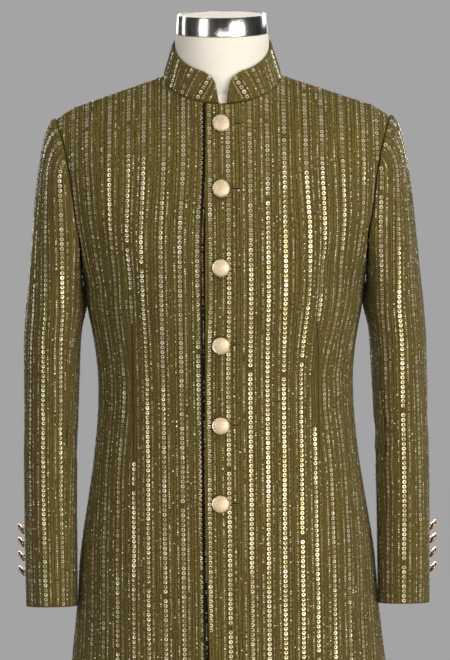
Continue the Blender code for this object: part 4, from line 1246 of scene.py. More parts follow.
def collar_grid():
    """The band's outer face from the left front end round the nape to the right one."""
    first = math.asin(COLLAR_GAP / 2 / NECK_HALF_WIDTH)
    run = crowded((math.pi - first) * NECK_FRONT, COLLAR_STEP)
    angle = first + run[:-len(BORDER_STEPS)] / NECK_FRONT
    angle = np.append(angle, math.pi)
    cosine = np.cos(angle)
    base = np.where((cosine >= 0)[:, None], neckline(angle, FRONT), neckline(math.pi - angle, BACK))
    base = base + np.array([0, 0, SEAM_GAP + COLLAR_LIFT])
    depth = np.where(cosine > 0, COLLAR_TOP_FRONT, COLLAR_TOP_BACK)
    front_part = np.maximum(cosine, 0) * (COLLAR_FRONT_HEIGHT - COLLAR_HEIGHT)
    back_part = np.maximum(-cosine, 0) * (COLLAR_NAPE_HEIGHT - COLLAR_HEIGHT)
    height = COLLAR_HEIGHT + front_part + back_part
    along = (angle - first) * NECK_FRONT
    flare = COLLAR_FLARE * np.clip(1 - along / COLLAR_FLARE_LENGTH, 0, 1) ** 2
    top_x = COLLAR_TOP_HALF_WIDTH * np.sin(angle) + flare
    top = np.stack([top_x, -depth * cosine, base[:, 2] + height], axis=-1)
    near = np.clip(along, 0, COLLAR_CORNER)
    rise = np.sqrt(np.maximum(COLLAR_CORNER ** 2 - (COLLAR_CORNER - near) ** 2, 0))
    fall = COLLAR_END_SLOPE * np.maximum(COLLAR_END_LENGTH - along, 0)
    standing = 1 - (COLLAR_CORNER - rise + fall) / COLLAR_FRONT_HEIGHT
    reach = (top - base) * standing[:, None]
    shares = crowded(COLLAR_HEIGHT, COLLAR_STEP) / COLLAR_HEIGHT
    half = np.array([base + reach * share for share in shares])
    return np.concatenate([half, (half * MIRROR)[:, ::-1][:, 1:]], axis=1)


def dress_neck():
    grid = collar_grid()
    normals = unit(np.cross(np.gradient(grid, axis=1), np.gradient(grid, axis=0)))
    borders = {"first": EDGE_TURN, "last": EDGE_TURN, "bottom": SEAM_TURN, "top": EDGE_TURN}
    outer = turned_under(grid, normals, borders)
    inner = grid - normals * COLLAR_THICKNESS
    inner[0, :, 2] -= ALLOWANCE
    run = lengths_along(grid[0])
    from_end = np.minimum(run, run[-1] - run)
    lean = COLLAR_GRAIN_LEAN * (1 - ease(from_end / COLLAR_GRAIN_REACH))
    across = from_end[None, :] + lean[None, :] * grain_up(grid)
    grain = np.stack([row_number(across, COLLAR_ROWS_FROM), grain_up(grid)], axis=-1)
    sewable = np.ones(across.shape, dtype=bool)
    keep_panel("collar_cloth", outer, inner, normals, grain, np.zeros_like(grain), sewable, True)


dress_neck()
print("collar faces:", len(panels["collar_cloth"]["piece"].data.polygons))

# %% [markdown]
# ## Sewing on the sequins
# Thousands of sequins follow the rows, so a small node tree places them: it walks along each row
# in even steps, stands a cupped ring on the cloth at every step, tips it a little at random as a
# thread would leave it, and gives it a tone of its own. The tree ends in plain geometry. The same
# tree sets the tiny beads on the couched threads, with other sizes and some left out.

# %% A small kit for node trees
class Tree:
    """A geometry node tree with named inputs."""

    def __init__(self, name, inputs):
        self.group = bpy.data.node_groups.new(name, "GeometryNodeTree")
        faces = self.group.interface
        faces.new_socket("Geometry", in_out="INPUT", socket_type="NodeSocketGeometry")
        for label, kind in inputs.items():
            faces.new_socket(label, in_out="INPUT", socket_type="NodeSocket" + kind)
        faces.new_socket("Geometry", in_out="OUTPUT", socket_type="NodeSocketGeometry")
        self.start = self.group.nodes.new("NodeGroupInput")
        self.end = self.group.nodes.new("NodeGroupOutput")

    def given(self, label):
        return self.start.outputs[label]

    def node(self, kind, settings=None, sockets=None, out=0):
        made = self.group.nodes.new(kind)
        for name, value in (settings or {}).items():
            setattr(made, name, value)
        for name, value in (sockets or {}).items():
            if isinstance(value, bpy.types.NodeSocket):
                self.group.links.new(value, made.inputs[name])
            else:
                made.inputs[name].default_value = value
        return made.outputs[out]

    def finish(self, instances):
        """Real geometry with its finish on it, as the export needs."""
        real = self.node("GeometryNodeRealizeInstances", None, {"Geometry": instances})
        coated = self.node("GeometryNodeSetMaterial", None,
                           {"Geometry": real, "Material": self.given("Finish")})
        self.group.links.new(coated, self.end.inputs["Geometry"])

    def steps_on_lines(self):
        """Points in even steps along the given lines, lifted off the cloth, and which way is out."""
        lines = self.node("GeometryNodeMeshToCurve", None, {"Mesh": self.given("Geometry")})
        steps = self.node("GeometryNodeResampleCurve", {"mode": "LENGTH"},
                          {"Curve": lines, "Length": self.given("Pitch")})
        facing = self.node("GeometryNodeInputNamedAttribute", {"data_type": "FLOAT_VECTOR"},
                           {"Name": "facing"})
        rise = self.node("ShaderNodeVectorMath", {"operation": "SCALE"},
                         {0: facing, "Scale": self.given("Lift")})
        return self.node("GeometryNodeSetPosition", None, {"Geometry": steps, "Offset": rise}), facing

    def grow(self, name, carrier, values):
        """Runs the tree on the carrier and keeps the result as a plain mesh."""
        modifier = carrier.modifiers.new("grow", "NODES")
        modifier.node_group = self.group
        faces = self.group.interface.items_tree
        keys = {item.name: item.identifier for item in faces if item.in_out == "INPUT"}
        for label, value in values.items():
            modifier[keys[label]] = value
        ready = carrier.evaluated_get(bpy.context.evaluated_depsgraph_get())
        mesh = bpy.data.meshes.new_from_object(ready)
        bpy.data.objects.remove(carrier, do_unlink=True)
        mesh.name = name
        return add_piece(name, mesh)


TONE_SEED = 5


def sequin_tree():
    tree = Tree("sew_in_rows", {
        "Pitch": "Float", "Rim Radius": "Float", "Hole Radius": "Float", "Cup Depth": "Float",
        "Sides": "Int", "Tilt": "Float", "Lift": "Float", "Seed": "Int", "Finish": "Material",
    })
    raised, facing = tree.steps_on_lines()
    kept = tree.node("GeometryNodeInputNamedAttribute", {"data_type": "FLOAT"}, {"Name": "kept"})
    cone = tree.node("GeometryNodeMeshCone", {"fill_type": "NONE"}, {
        "Vertices": tree.given("Sides"), "Radius Top": tree.given("Rim Radius"),
        "Radius Bottom": tree.given("Hole Radius"), "Depth": tree.given("Cup Depth")})
    cup = tree.node("GeometryNodeFlipFaces", None, {"Mesh": cone})
    upright = tree.node("FunctionNodeAlignRotationToVector", {"axis": "Z"}, {"Vector": facing})
    chance = tree.node("FunctionNodeRandomValue", {"data_type": "FLOAT_VECTOR"},
                       {0: (-1.0, -1.0, -1.0), 1: (1.0, 1.0, 1.0), "Seed": tree.given("Seed")})
    most = tree.node("ShaderNodeCombineXYZ", None,
                     {0: tree.given("Tilt"), 1: tree.given("Tilt"), 2: math.pi})
    tipped = tree.node("ShaderNodeVectorMath", {"operation": "MULTIPLY"}, {0: chance, 1: most})
    tip = tree.node("FunctionNodeEulerToRotation", None, {"Euler": tipped})
    turned = tree.node("FunctionNodeRotateRotation", {"rotation_space": "LOCAL"}, {0: upright, 1: tip})
    stays = tree.node("FunctionNodeRandomValue", {"data_type": "BOOLEAN"},
                      {"Probability": kept, "Seed": tree.given("Seed")}, out=3)
    sewn = tree.node("GeometryNodeInstanceOnPoints", None,
                     {"Points": raised, "Selection": stays, "Instance": cup, "Rotation": turned})
    tone = tree.node("FunctionNodeRandomValue", {"data_type": "FLOAT"}, {"Seed": TONE_SEED}, out=1)
    toned = tree.node("GeometryNodeStoreNamedAttribute", {"data_type": "FLOAT", "domain": "INSTANCE"},
                      {"Geometry": sewn, "Name": "tone", "Value": tone})
    tree.finish(toned)
    return tree


sew_in_rows = sequin_tree()
print("tree nodes:", len(sew_in_rows.group.nodes))

# %% [markdown]
# Sequins are thin foil with a gold coat. Their colour runs from olive gold to pale champagne, and
# the coat is smooth enough to throw back the lamps as small glints, so the finish is a metal whose
# roughness and colour follow each sequin's own tone.

# %% Mix the sequins' gold
SEQUIN_TONES = ((0.0, (0.40, 0.33, 0.15)), (0.45, (0.59, 0.51, 0.29)), (1.0, (0.86, 0.80, 0.60)))
SCUFF_COLOUR = (0.34, 0.28, 0.12)
SCUFFS = (900.0, 2.0)
BEAD_TONES = ((0.0, (0.28, 0.22, 0.10)), (0.7, (0.46, 0.39, 0.22)), (1.0, (0.88, 0.84, 0.70)))
BEAD_GRAIN = (1500.0, 1.0)


def own_tone(finish):
    """The tone that the tree gave to each sequin."""
    return finish.node("ShaderNodeAttribute", {"attribute_name": "tone"}, out=2)


def sequin_finish():
    gold = Finish("sequin_gold", {"Metallic": 0.58, "Specular IOR Level": 0.6})
    tone = own_tone(gold)
    scuffs = gold.noise(gold.place(), *SCUFFS)
    gold.set(Base_Color=gold.mix(scuffs * 0.3, gold.ramp(tone, SEQUIN_TONES), SCUFF_COLOUR),
             Roughness=0.19 + tone * 0.12 + scuffs * 0.08)
    return gold.material


def bead_finish():
    bead = Finish("bead_champagne", {"Metallic": 0.40, "Specular IOR Level": 0.7})
    grain = bead.noise(bead.place(), *BEAD_GRAIN)
    bead.set(Base_Color=bead.ramp(own_tone(bead), BEAD_TONES), Roughness=0.30 + grain * 0.15)
    return bead.material


sequin_gold = sequin_finish()
bead_champagne = bead_finish()
print("finishes:", sequin_gold.name, bead_champagne.name)

# %% Draw the sewing lines
RING_MARGIN = 0.0033
BEAD_MARGIN = 0.0024


def border_distance(grid):
    along = np.array([lengths_along(row) for row in grid])
    up = grain_up(grid)
    sides = np.stack([along, along[:, -1:] - along, up, up[-1:] - up])
    return sides.min(axis=0)


def rows_at(panel, number, margin):
    """The lines on a panel where its rows have that number, as (points, outward directions)."""
    outer, normals, distance = panel["outer"], panel["normals"], panel["distance"]
    found = []
    for direction in (1, -1):
        offset = (panel["grain"][..., 0] - number) * direction
        crossing = (offset[:, :-1] <= 0) & (offset[:, 1:] > 0)
        crossing &= panel["sewable"][:, :-1] & panel["sewable"][:, 1:]
        column = crossing.argmax(axis=1)
        row = np.arange(len(column))
        low, high = offset[row, column], offset[row, column + 1]
        share = -low / np.where(high == low, 1.0, high - low)
        share = np.where(crossing.any(axis=1), share, 0.0)[:, None]
        points = outer[row, column] * (1 - share) + outer[row, column + 1] * share
        facing = unit(normals[row, column] * (1 - share) + normals[row, column + 1] * share)
        clear = distance[row, column] * (1 - share[:, 0]) + distance[row, column + 1] * share[:, 0]
        good = crossing.any(axis=1) & (clear > margin)
        edges = np.flatnonzero(good)
        for run in np.split(edges, np.flatnonzero(np.diff(edges) > 1) + 1):
            if len(run) > 1:
                found.append((points[run], facing[run]))
    return found


def sewing_lines(name, lines):
    """A mesh of plain edges along the lines; lines are (points, outward directions, share kept)."""
    mesh = bpy.data.meshes.new(name)
    points = np.concatenate([line[0] for line in lines])
    starts = np.cumsum([0] + [len(line[0]) for line in lines])
    edges = [(a, a + 1) for first, last in zip(starts, starts[1:]) for a in range(first, last - 1)]
    mesh.from_pydata(points.tolist(), edges, [])
    facing = mesh.attributes.new("facing", "FLOAT_VECTOR", "POINT")
    directions = np.concatenate([line[1] for line in lines])
    facing.data.foreach_set("vector", directions.astype(np.float32).reshape(-1))
    kept = mesh.attributes.new("kept", "FLOAT", "POINT")
    shares = np.concatenate([line[2] for line in lines])
    kept.data.foreach_set("value", shares.astype(np.float32))
    return add_piece(name, mesh)


for panel in panels.values():
    panel["distance"] = border_distance(panel["outer"])
print("lines in one row of the left front:", len(rows_at(panels["front_cloth_left"], 2, RING_MARGIN)))

# %% Sew rings and beads on every panel
RING = {"Pitch": 0.0064, "Rim Radius": 0.0027, "Hole Radius": 0.00122, "Cup Depth": 0.00014,
        "Sides": 9, "Tilt": 0.045, "Lift": 0.0003}
BEAD = {"Pitch": 0.0030, "Rim Radius": 0.00112, "Hole Radius": 0.00015, "Cup Depth": 0.0004,
        "Sides": 5, "Tilt": 0.22, "Lift": 0.0002}
RINGS_KEPT = 0.985
BEAD_LINES = ((0.29, 0.50), (0.50, 0.05), (0.69, 0.92))
BEAD_WANDER = 0.03
BEAD_PACES = (19.0, 43.0, 97.0)
BEAD_RUNS = 0.75
FEWEST_BEADS = 0.01
LEAN = {"sideways": 0.12, "upward": 0.07}
LEAN_PACES = (9.0, 23.0, 51.0)
FULL_TURN = 6.28
dice = np.random.default_rng(31)


def slow_wave(points, paces):
    """An uneven wave along a row, from sines whose starts the dice choose."""
    return sum(np.sin(points[:, 2] * pace + dice.uniform(0, FULL_TURN)) for pace in paces) / len(paces)


def kept_along(points, most):
    """Beads come in runs: long stretches of a thread carry many and others few."""
    wave = slow_wave(points, BEAD_PACES)
    return np.clip(most * (BEAD_RUNS + BEAD_RUNS * wave), FEWEST_BEADS, 1.0)


def leaning(points, facing):
    """A row's thread leans slowly to one side and the other, so its sequins glint in runs."""
    along = unit(np.gradient(points, axis=0))
    across = np.cross(facing, along)
    side = slow_wave(points, LEAN_PACES)
    rise = slow_wave(points, LEAN_PACES)
    sideways = across * (LEAN["sideways"] * side)[:, None]
    upward = along * (LEAN["upward"] * rise)[:, None]
    return unit(facing + sideways + upward)


def sew_panel(name, panel, seed):
    rings, beads = [], []
    numbers = panel["grain"][..., 0]
    for number in range(math.floor(numbers.min()), math.ceil(numbers.max()) + 1):
        for points, facing in rows_at(panel, number, RING_MARGIN):
            rings.append((points, leaning(points, facing), np.full(len(points), RINGS_KEPT)))
        for place, most in BEAD_LINES:
            moved = number + place + dice.uniform(-BEAD_WANDER, BEAD_WANDER)
            for points, facing in rows_at(panel, moved, BEAD_MARGIN):
                beads.append((points, leaning(points, facing), kept_along(points, most)))
    sewn = []
    kinds = (("rings", rings, RING, sequin_gold), ("beads", beads, BEAD, bead_champagne))
    for word, lines, sizes, finish in kinds:
        carrier = sewing_lines(name + "_lines", lines)
        values = dict(sizes, Seed=seed, Finish=finish)
        sewn.append(sew_in_rows.grow(name.replace("cloth", word), carrier, values))
    return sewn


for seed, (name, panel) in enumerate(panels.items()):
    panel["sewn"] = sew_panel(name, panel, seed)
sewn_faces = {piece.name: len(piece.data.polygons) for panel in panels.values() for piece in panel["sewn"]}
print("faces sewn on:", sum(sewn_faces.values()), sewn_faces)

# %% [markdown]
# ## Buttons
# The front buttons are cast in pale gold: a bright raised rim, a groove inside it, and a domed
# face with a fine pebbled pattern that holds a darker tone in its hollows. The cuffs carry four
# small ones in rose gold. Each is turned from a profile round its own axis and stands where its
# solid stands, on its shank.

# %% Turn a solid of revolution
SHARP_EDGE = math.radians(38)


def ring_corners(model, radius, height, count):
    """Corners round the axis at one height."""
    turns = [2 * math.pi * side / count for side in range(count)]
    return [model.verts.new((radius * math.cos(turn), radius * math.sin(turn), height)) for turn in turns]


def turned_mesh(name, profile, sides, finish):
    """A closed solid from rings of (radius, height); a radius of 0 closes an end in a point."""
    model = bmesh.new()
    rings = [ring_corners(model, radius, height, sides if radius else 1) for radius, height in profile]
    for low, high in zip(rings, rings[1:]):
        for side in range(sides):
            after = (side + 1) % sides
            corners = [low[side % len(low)], low[after % len(low)]]
            corners += [high[after % len(high)], high[side % len(high)]]
            kept = [corner for place, corner in enumerate(corners) if corner not in corners[:place]]
            if len(kept) > 2:
                model.faces.new(kept)
    bmesh.ops.recalc_face_normals(model, faces=model.faces)
    mesh = bpy.data.meshes.new(name)
    model.to_mesh(mesh)
    model.free()
    mesh.materials.append(finish)
    mesh.shade_smooth()
    mesh.set_sharp_from_angle(angle=SHARP_EDGE)
    return mesh


def node_axis(name, outward):
    """Where a small turned solid stands and which way it points, read from its own corners."""
    corners = np.array([corner.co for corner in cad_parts[name].data.vertices])
    corners = np.unique(np.round(corners, 6), axis=0)
    middle = corners.mean(axis=0)
    _, _, directions = np.linalg.svd(corners - middle)
    axis = directions[2] * (1 if directions[2] @ np.array(outward) > 0 else -1)
    heights = (corners - middle) @ axis
    foot = middle + axis * heights.min()
    turn = Vector((0, 0, 1)).rotation_difference(Vector(axis))
    return Matrix.Translation(foot) @ turn.to_matrix().to_4x4()


print("button axis:", [round(value, 3) for value in node_axis("button_3", (0, -1, 0)).col[2]])

# %% Mix the buttons' metal
PALE_GOLD = {"hollow": (0.42, 0.28, 0.16), "face": (0.72, 0.57, 0.37), "bright": (0.88, 0.76, 0.56),
             "rim": (0.97, 0.84, 0.60), "pebble": 1150.0, "shine": 0.55}
ROSE_GOLD = {"hollow": (0.16, 0.08, 0.05), "face": (0.42, 0.24, 0.16), "bright": (0.78, 0.56, 0.42),
             "rim": (0.78, 0.55, 0.40), "pebble": 1700.0, "shine": 0.92}
PEBBLE_SPAN = (0.15, 0.55)
PEBBLE_RELIEF = (0.00014, 0.7)
TARNISH = (620.0, 3.0)
TARNISH_SPAN = (0.48, 0.80)
TARNISH_SHARE = 0.7
RUBBING = (700.0, 2.0)
RUBBED_SHARE = 0.35
RUBBED_TONE = 0.6


def button_finish(name, gold):
    metal = Finish(name, {"Metallic": gold["shine"], "Specular IOR Level": 0.6})
    place = metal.place()
    spots = metal.node("ShaderNodeTexVoronoi", {"feature": "F1"}, {"Vector": place, "Scale": gold["pebble"]})
    cloud = metal.noise(place, *TARNISH)
    worn = metal.mix(spots.above(*PEBBLE_SPAN), gold["bright"], gold["face"])
    metal.set(Base_Color=metal.mix(cloud.above(*TARNISH_SPAN) * TARNISH_SHARE, worn, gold["hollow"]),
              Roughness=0.42 + spots * 0.20)
    metal.bump(spots, *PEBBLE_RELIEF)
    return metal.material


def rim_finish(name, gold):
    metal = Finish(name, {"Metallic": 1.0})
    rubbed = metal.noise(metal.place(), *RUBBING)
    darker = tuple(RUBBED_TONE * part for part in gold["rim"])
    metal.set(Base_Color=metal.mix(rubbed * RUBBED_SHARE, gold["rim"], darker),
              Roughness=0.20 + rubbed * 0.14)
    return metal.material


pale_gold = button_finish("pale_gold_face", PALE_GOLD)
gold_rim = rim_finish("pale_gold_rim", PALE_GOLD)
rose_gold = button_finish("rose_gold_face", ROSE_GOLD)
rose_rim = rim_finish("rose_gold_rim", ROSE_GOLD)
print("button metals: 4")

# %% Make the buttons
BUTTON_RADIUS = 0.0120
CUFF_BUTTON_RADIUS = 0.0080
BUTTON_BACK = (
    (0.0, 0.0), (0.27, 0.0), (0.30, 0.02), (0.30, 0.15), (0.34, 0.175), (0.88, 0.18), (0.94, 0.195),
    (0.985, 0.230), (1.0, 0.280), (0.995, 0.330), (0.965, 0.385), (0.930, 0.405), (0.895, 0.398),
    (0.870, 0.365),
)
BUTTON_FACE = (
    (0.870, 0.365), (0.850, 0.362), (0.830, 0.385), (0.800, 0.415), (0.700, 0.458), (0.560, 0.505),
    (0.400, 0.542), (0.220, 0.568), (0.080, 0.578), (0.0, 0.580),
)
CUFF_BUTTON_BACK = (
    (0.0, 0.0), (0.24, 0.0), (0.26, 0.02), (0.24, 0.46), (0.30, 0.485), (0.80, 0.535), (0.93, 0.575),
    (0.985, 0.625), (1.0, 0.680), (0.992, 0.735), (0.965, 0.785), (0.935, 0.805), (0.905, 0.800),
    (0.885, 0.780),
)
CUFF_BUTTON_FACE = (
    (0.885, 0.780), (0.865, 0.785), (0.840, 0.815), (0.780, 0.862), (0.660, 0.925), (0.500, 0.985),
    (0.320, 1.030), (0.140, 1.055), (0.0, 1.060),
)
BUTTON_SIDES = 48
CUFF_BUTTONS = 4
WELD = 0.00001
STEEPEST_FACE = math.radians(17.0)
STEEP_LIFT = 0.0010


def eased_stand(stand):
    """A button on its shank hangs straighter than steep cloth under it."""
    axis = stand.col[2].to_3d()
    rise = math.asin(max(-1.0, min(1.0, axis.z)))
    if rise <= STEEPEST_FACE:
        return stand
    level = Vector((axis.x, axis.y, 0)).normalized()
    wanted = level * math.cos(STEEPEST_FACE) + Vector((0, 0, math.sin(STEEPEST_FACE)))
    turn = axis.rotation_difference(wanted).to_matrix().to_4x4()
    place = stand.to_translation()
    return Matrix.Translation(place + axis * STEEP_LIFT) @ turn @ Matrix.Translation(-place) @ stand


def add_button(node, radius, outward, shapes, face, rim):
    """Rim and face as one piece with two metals."""
    back = turned_mesh(node + "_rim", [(x * radius, z * radius) for x, z in shapes[0]], BUTTON_SIDES, rim)
    front = turned_mesh(node + "_face", [(x * radius, z * radius) for x, z in shapes[1]], BUTTON_SIDES, face)
    stand = eased_stand(node_axis(node, outward))
    model = bmesh.new()
    model.from_mesh(back)
    rim_faces = len(model.faces)
    model.from_mesh(front)
    for number, part in enumerate(model.faces):
        part.material_index = 0 if number < rim_faces else 1
        part.smooth = True
    bmesh.ops.remove_doubles(model, verts=model.verts, dist=WELD)
    bmesh.ops.recalc_face_normals(model, faces=model.faces)
    model.transform(stand)
    mesh = bpy.data.meshes.new(node + "_metal")
    model.to_mesh(mesh)
    model.free()
    mesh.materials.append(rim)
    mesh.materials.append(face)
    piece = add_piece(node.replace("button", "turned_button"), mesh)
    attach(piece, "root")
    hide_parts(node)
    return piece


for number in range(1, len(BUTTON_HEIGHTS) + 1):
    shapes = (BUTTON_BACK, BUTTON_FACE)
    piece = add_button(f"button_{number}", BUTTON_RADIUS, (0, -1, 0), shapes, pale_gold, gold_rim)
for half, wearer_side in HALVES.items():
    for number in range(1, CUFF_BUTTONS + 1):
        node = f"cuff_button_{half}_{number}"
        shapes = (CUFF_BUTTON_BACK, CUFF_BUTTON_FACE)
        piece = add_button(node, CUFF_BUTTON_RADIUS, (wearer_side, 0, 0), shapes, rose_gold, rose_rim)
print("buttons:", len(BUTTON_HEIGHTS) + 2 * CUFF_BUTTONS)

# %% [markdown]
# ## Buttonholes
# Each button closes through a slit cut across the left front, and the slit's lips are bound with
# short stitches side by side. A second small tree sets one stitch after another round the slit,
# each lying across the lip. A near-black strip laid along the slit is painted shadow, standing for
# the dark inside of the cut.

# %% Bind the buttonholes
HOLE_LENGTH = 0.0275
HOLE_START = -0.0020
HOLE_LIP = 0.00125
STITCH = {"Pitch": 0.00085, "Length": 0.0019, "Thickness": 0.00065, "Lift": 0.0003}
STITCH_BALL = {"Segments": 6, "Rings": 4, "Radius": 0.5}
LIP_POINTS = 15
BEND_POINTS = 7
# Sizes of the near-black strip of painted shadow laid along each slit.
SLIT_SHADOW_POINTS = 12
SLIT_SHADOW_LIFT = 0.00025
SLIT_SHADOW_HALF_WIDTH = 0.00065


def stitch_tree():
    tree = Tree("bind_with_stitches", {"Pitch": "Float", "Length": "Float", "Thickness": "Float",
                                       "Lift": "Float", "Finish": "Material"})
    raised, facing = tree.steps_on_lines()
    along = tree.node("GeometryNodeInputTangent")
    lie = tree.node("FunctionNodeAxesToRotation", {"primary_axis": "Z", "secondary_axis": "Y"},
                    {0: facing, 1: along})
    thread = tree.node("GeometryNodeMeshUVSphere", None, STITCH_BALL)
    size = tree.node("ShaderNodeCombineXYZ", None,
                     {0: tree.given("Length"), 1: tree.given("Thickness"), 2: tree.given("Thickness")})
    bound = tree.node("GeometryNodeInstanceOnPoints", None,
                      {"Points": raised, "Instance": thread, "Rotation": lie, "Scale": size})
    tree.finish(bound)
    return tree


TWIST = (1800.0, 2.0)
TWIST_ROUGHNESS = (0.55, 0.15)
TWIST_RELIEF = 0.0001
THREAD_OLIVES = ((0.06, 0.047, 0.018), (0.17, 0.135, 0.05))
SLIT_SHADES = ((0.003, 0.002, 0.001), (0.010, 0.008, 0.004))


def thread_finish(name, shades, sheen, gloss):
    constants = {"Sheen Weight": sheen, "Specular IOR Level": gloss}
    return mottled_finish(name, constants, shades, TWIST, TWIST_ROUGHNESS, TWIST_RELIEF)


def cloth_surface(piece):
    """The piece's own surface, ready to be asked where a line from outside meets it."""
    corners = [corner.co for corner in piece.data.vertices]
    return BVHTree.FromPolygons(corners, [face.vertices[:] for face in piece.data.polygons])


def on_front(surface, x, z):
    place, direction, _, _ = surface.ray_cast(Vector((x, -1.0, z)), Vector((0, 1, 0)))
    return np.array(place), np.array(direction)


def hole_path(x, z):
    """A loop round the slit: along the upper lip, round the end, back along the lower lip."""
    run = np.linspace(0, HOLE_LENGTH, LIP_POINTS)
    bend = np.linspace(90, -90, BEND_POINTS)[1:-1]
    loop = [(x + HOLE_START + step, z + HOLE_LIP) for step in run]
    loop += [(x + HOLE_START + HOLE_LENGTH + HOLE_LIP * math.cos(math.radians(turn)),
              z + HOLE_LIP * math.sin(math.radians(turn))) for turn in bend]
    return loop + [(x + HOLE_START + step, z - HOLE_LIP) for step in run[::-1]]


def bind_buttonhole(number, surface, z, tree, thread, shadow):
    x = float(button_line(z))
    placed = [on_front(surface, *point) for point in hole_path(x, z)]
    points = np.array([place for place, _ in placed])
    facing = np.array([direction for _, direction in placed])
    lines = sewing_lines("buttonhole_lines", [(points, facing, np.ones(len(points)))])
    lips = tree.grow(f"buttonhole_stitches_{number}", lines, dict(STITCH, Finish=thread))
    # a near-black strip along the slit is painted shadow for the inside of the cut
    run = np.linspace(0, HOLE_LENGTH, SLIT_SHADOW_POINTS)
    steps = [on_front(surface, x + HOLE_START + step, z) for step in run]
    corners, faces = [], []
    for place, direction in steps:
        for side in (-1, 1):
            corners.append(place + direction * SLIT_SHADOW_LIFT + np.array([0, 0, side * SLIT_SHADOW_HALF_WIDTH]))
    for step in range(len(steps) - 1):
        faces.append((2 * step, 2 * step + 2, 2 * step + 3, 2 * step + 1))
    mesh = bpy.data.meshes.new(f"buttonhole_painted_shadow_{number}")
    mesh.from_pydata([tuple(corner) for corner in corners], [], faces)
    mesh.materials.append(shadow)
    slit_shadow_sheet = add_piece(mesh.name, mesh)
    return lips, slit_shadow_sheet


left_front = cloth_surface(panels["front_cloth_left"]["piece"])
binding = stitch_tree()
olive_thread = thread_finish("olive_thread", THREAD_OLIVES, 0.15, 0.3)
slit_shadow = thread_finish("slit_shadow", SLIT_SHADES, 0.0, 0.02)
for number, z in enumerate(BUTTON_HEIGHTS, 1):
    for piece in bind_buttonhole(number, left_front, z, binding, olive_thread, slit_shadow):
        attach(piece, "root")
print("buttonholes bound:", len(BUTTON_HEIGHTS))

# %% [markdown]
# ## The dress form
# The form is a firm body under stretched cream jersey. Only its neck shows, with a polished metal
# cap that is turned on a lathe and a pale disc let into the cap's top. The cap's colour carries
# painted reflections, upright dark and light bands. Jersey has tiny upright columns of loops, far
# too fine for geometry, so they are bump.

# %% Cover the form
NECK_RADIUS = 0.0625
NECK_DEPTH = 0.0615
NECK_JOINT_RISE = 0.0113
NECK_TOP_Z = 1.5560
NECK_TOP_RADIUS = 0.0610
NECK_SIDES = 72
CAP_RADIUS = 0.0603
CAP_TOP_RADIUS = 0.0588
CAP_TOP_Z = 1.5815
CAP_DISC_RADIUS = 0.0562
CAP_RECESS = 0.0022
TOUCH = 0.0003
ROUND_SIDES = 96
NECK_SHARES = (0.0, 0.02, 0.25, 0.5, 0.75, 0.86, 0.94, 0.98, 1.0)
NECK_TAPER_FROM = 0.75
NECK_SHARP_EDGE = math.radians(40)
JERSEY_CONSTANTS = {"Sheen Weight": 0.20, "Sheen Roughness": 0.5, "Specular IOR Level": 0.25}
JERSEY_TONES = ((0.30, (0.57, 0.52, 0.44)), (0.70, (0.68, 0.64, 0.565)))
JERSEY_RELIEF = 0.00025
LOOP_STRETCH = (1.0, 1.0, 0.35)
LOOPS = (1500.0, 1.0)
JERSEY_CLOUDS = (14.0, 3.0)
# The cap's two greys and the upright bands between them are painted reflections.
REFLECTION_BAND_TONES = ((0.42, 0.41, 0.39), (0.86, 0.85, 0.82))
LATHE_STRETCH = (1.0, 1.0, 90.0)
LATHE_RINGS = (30.0, 2.0)
LATHE_RELIEF = 0.00006
REFLECTION_BAND_STRETCH = (9.0, 9.0, 1.2)
PAINTED_REFLECTION_BANDS = (6.0, 2.0)
REFLECTION_BAND_SPAN = (0.35, 0.65)
DISC_TONES = ((0.70, 0.65, 0.54), (0.82, 0.78, 0.68))


def jersey_finish():
    jersey = Finish("cream_jersey", JERSEY_CONSTANTS)
    place = jersey.place()
    loops = jersey.noise(jersey.stretched(place, LOOP_STRETCH), *LOOPS)
    clouds = jersey.noise(place, *JERSEY_CLOUDS)
    tone = clouds * 0.7 + loops * 0.3
    jersey.set(Base_Color=jersey.ramp(tone, JERSEY_TONES), Roughness=0.70 + loops * 0.12)
    jersey.bump(loops, JERSEY_RELIEF)
    return jersey.material


def cap_finish():
    """Polished metal with the fine level rings that a lathe leaves; upright dark and light bands in its
    colour are painted reflections.
    """
    cap = Finish("turned_chrome", {"Metallic": 1.0})
    place = cap.place()
    rings = cap.noise(cap.stretched(place, LATHE_STRETCH), *LATHE_RINGS)
    reflection_bands = cap.noise(cap.stretched(place, REFLECTION_BAND_STRETCH), *PAINTED_REFLECTION_BANDS)
    # the cap's colour swings between dark and light grey in upright bands: painted reflections
    cap.set(Base_Color=cap.mix(reflection_bands.above(*REFLECTION_BAND_SPAN), *REFLECTION_BAND_TONES), Roughness=0.14 + rings * 0.10)
    cap.bump(rings, LATHE_RELIEF)
    return cap.material


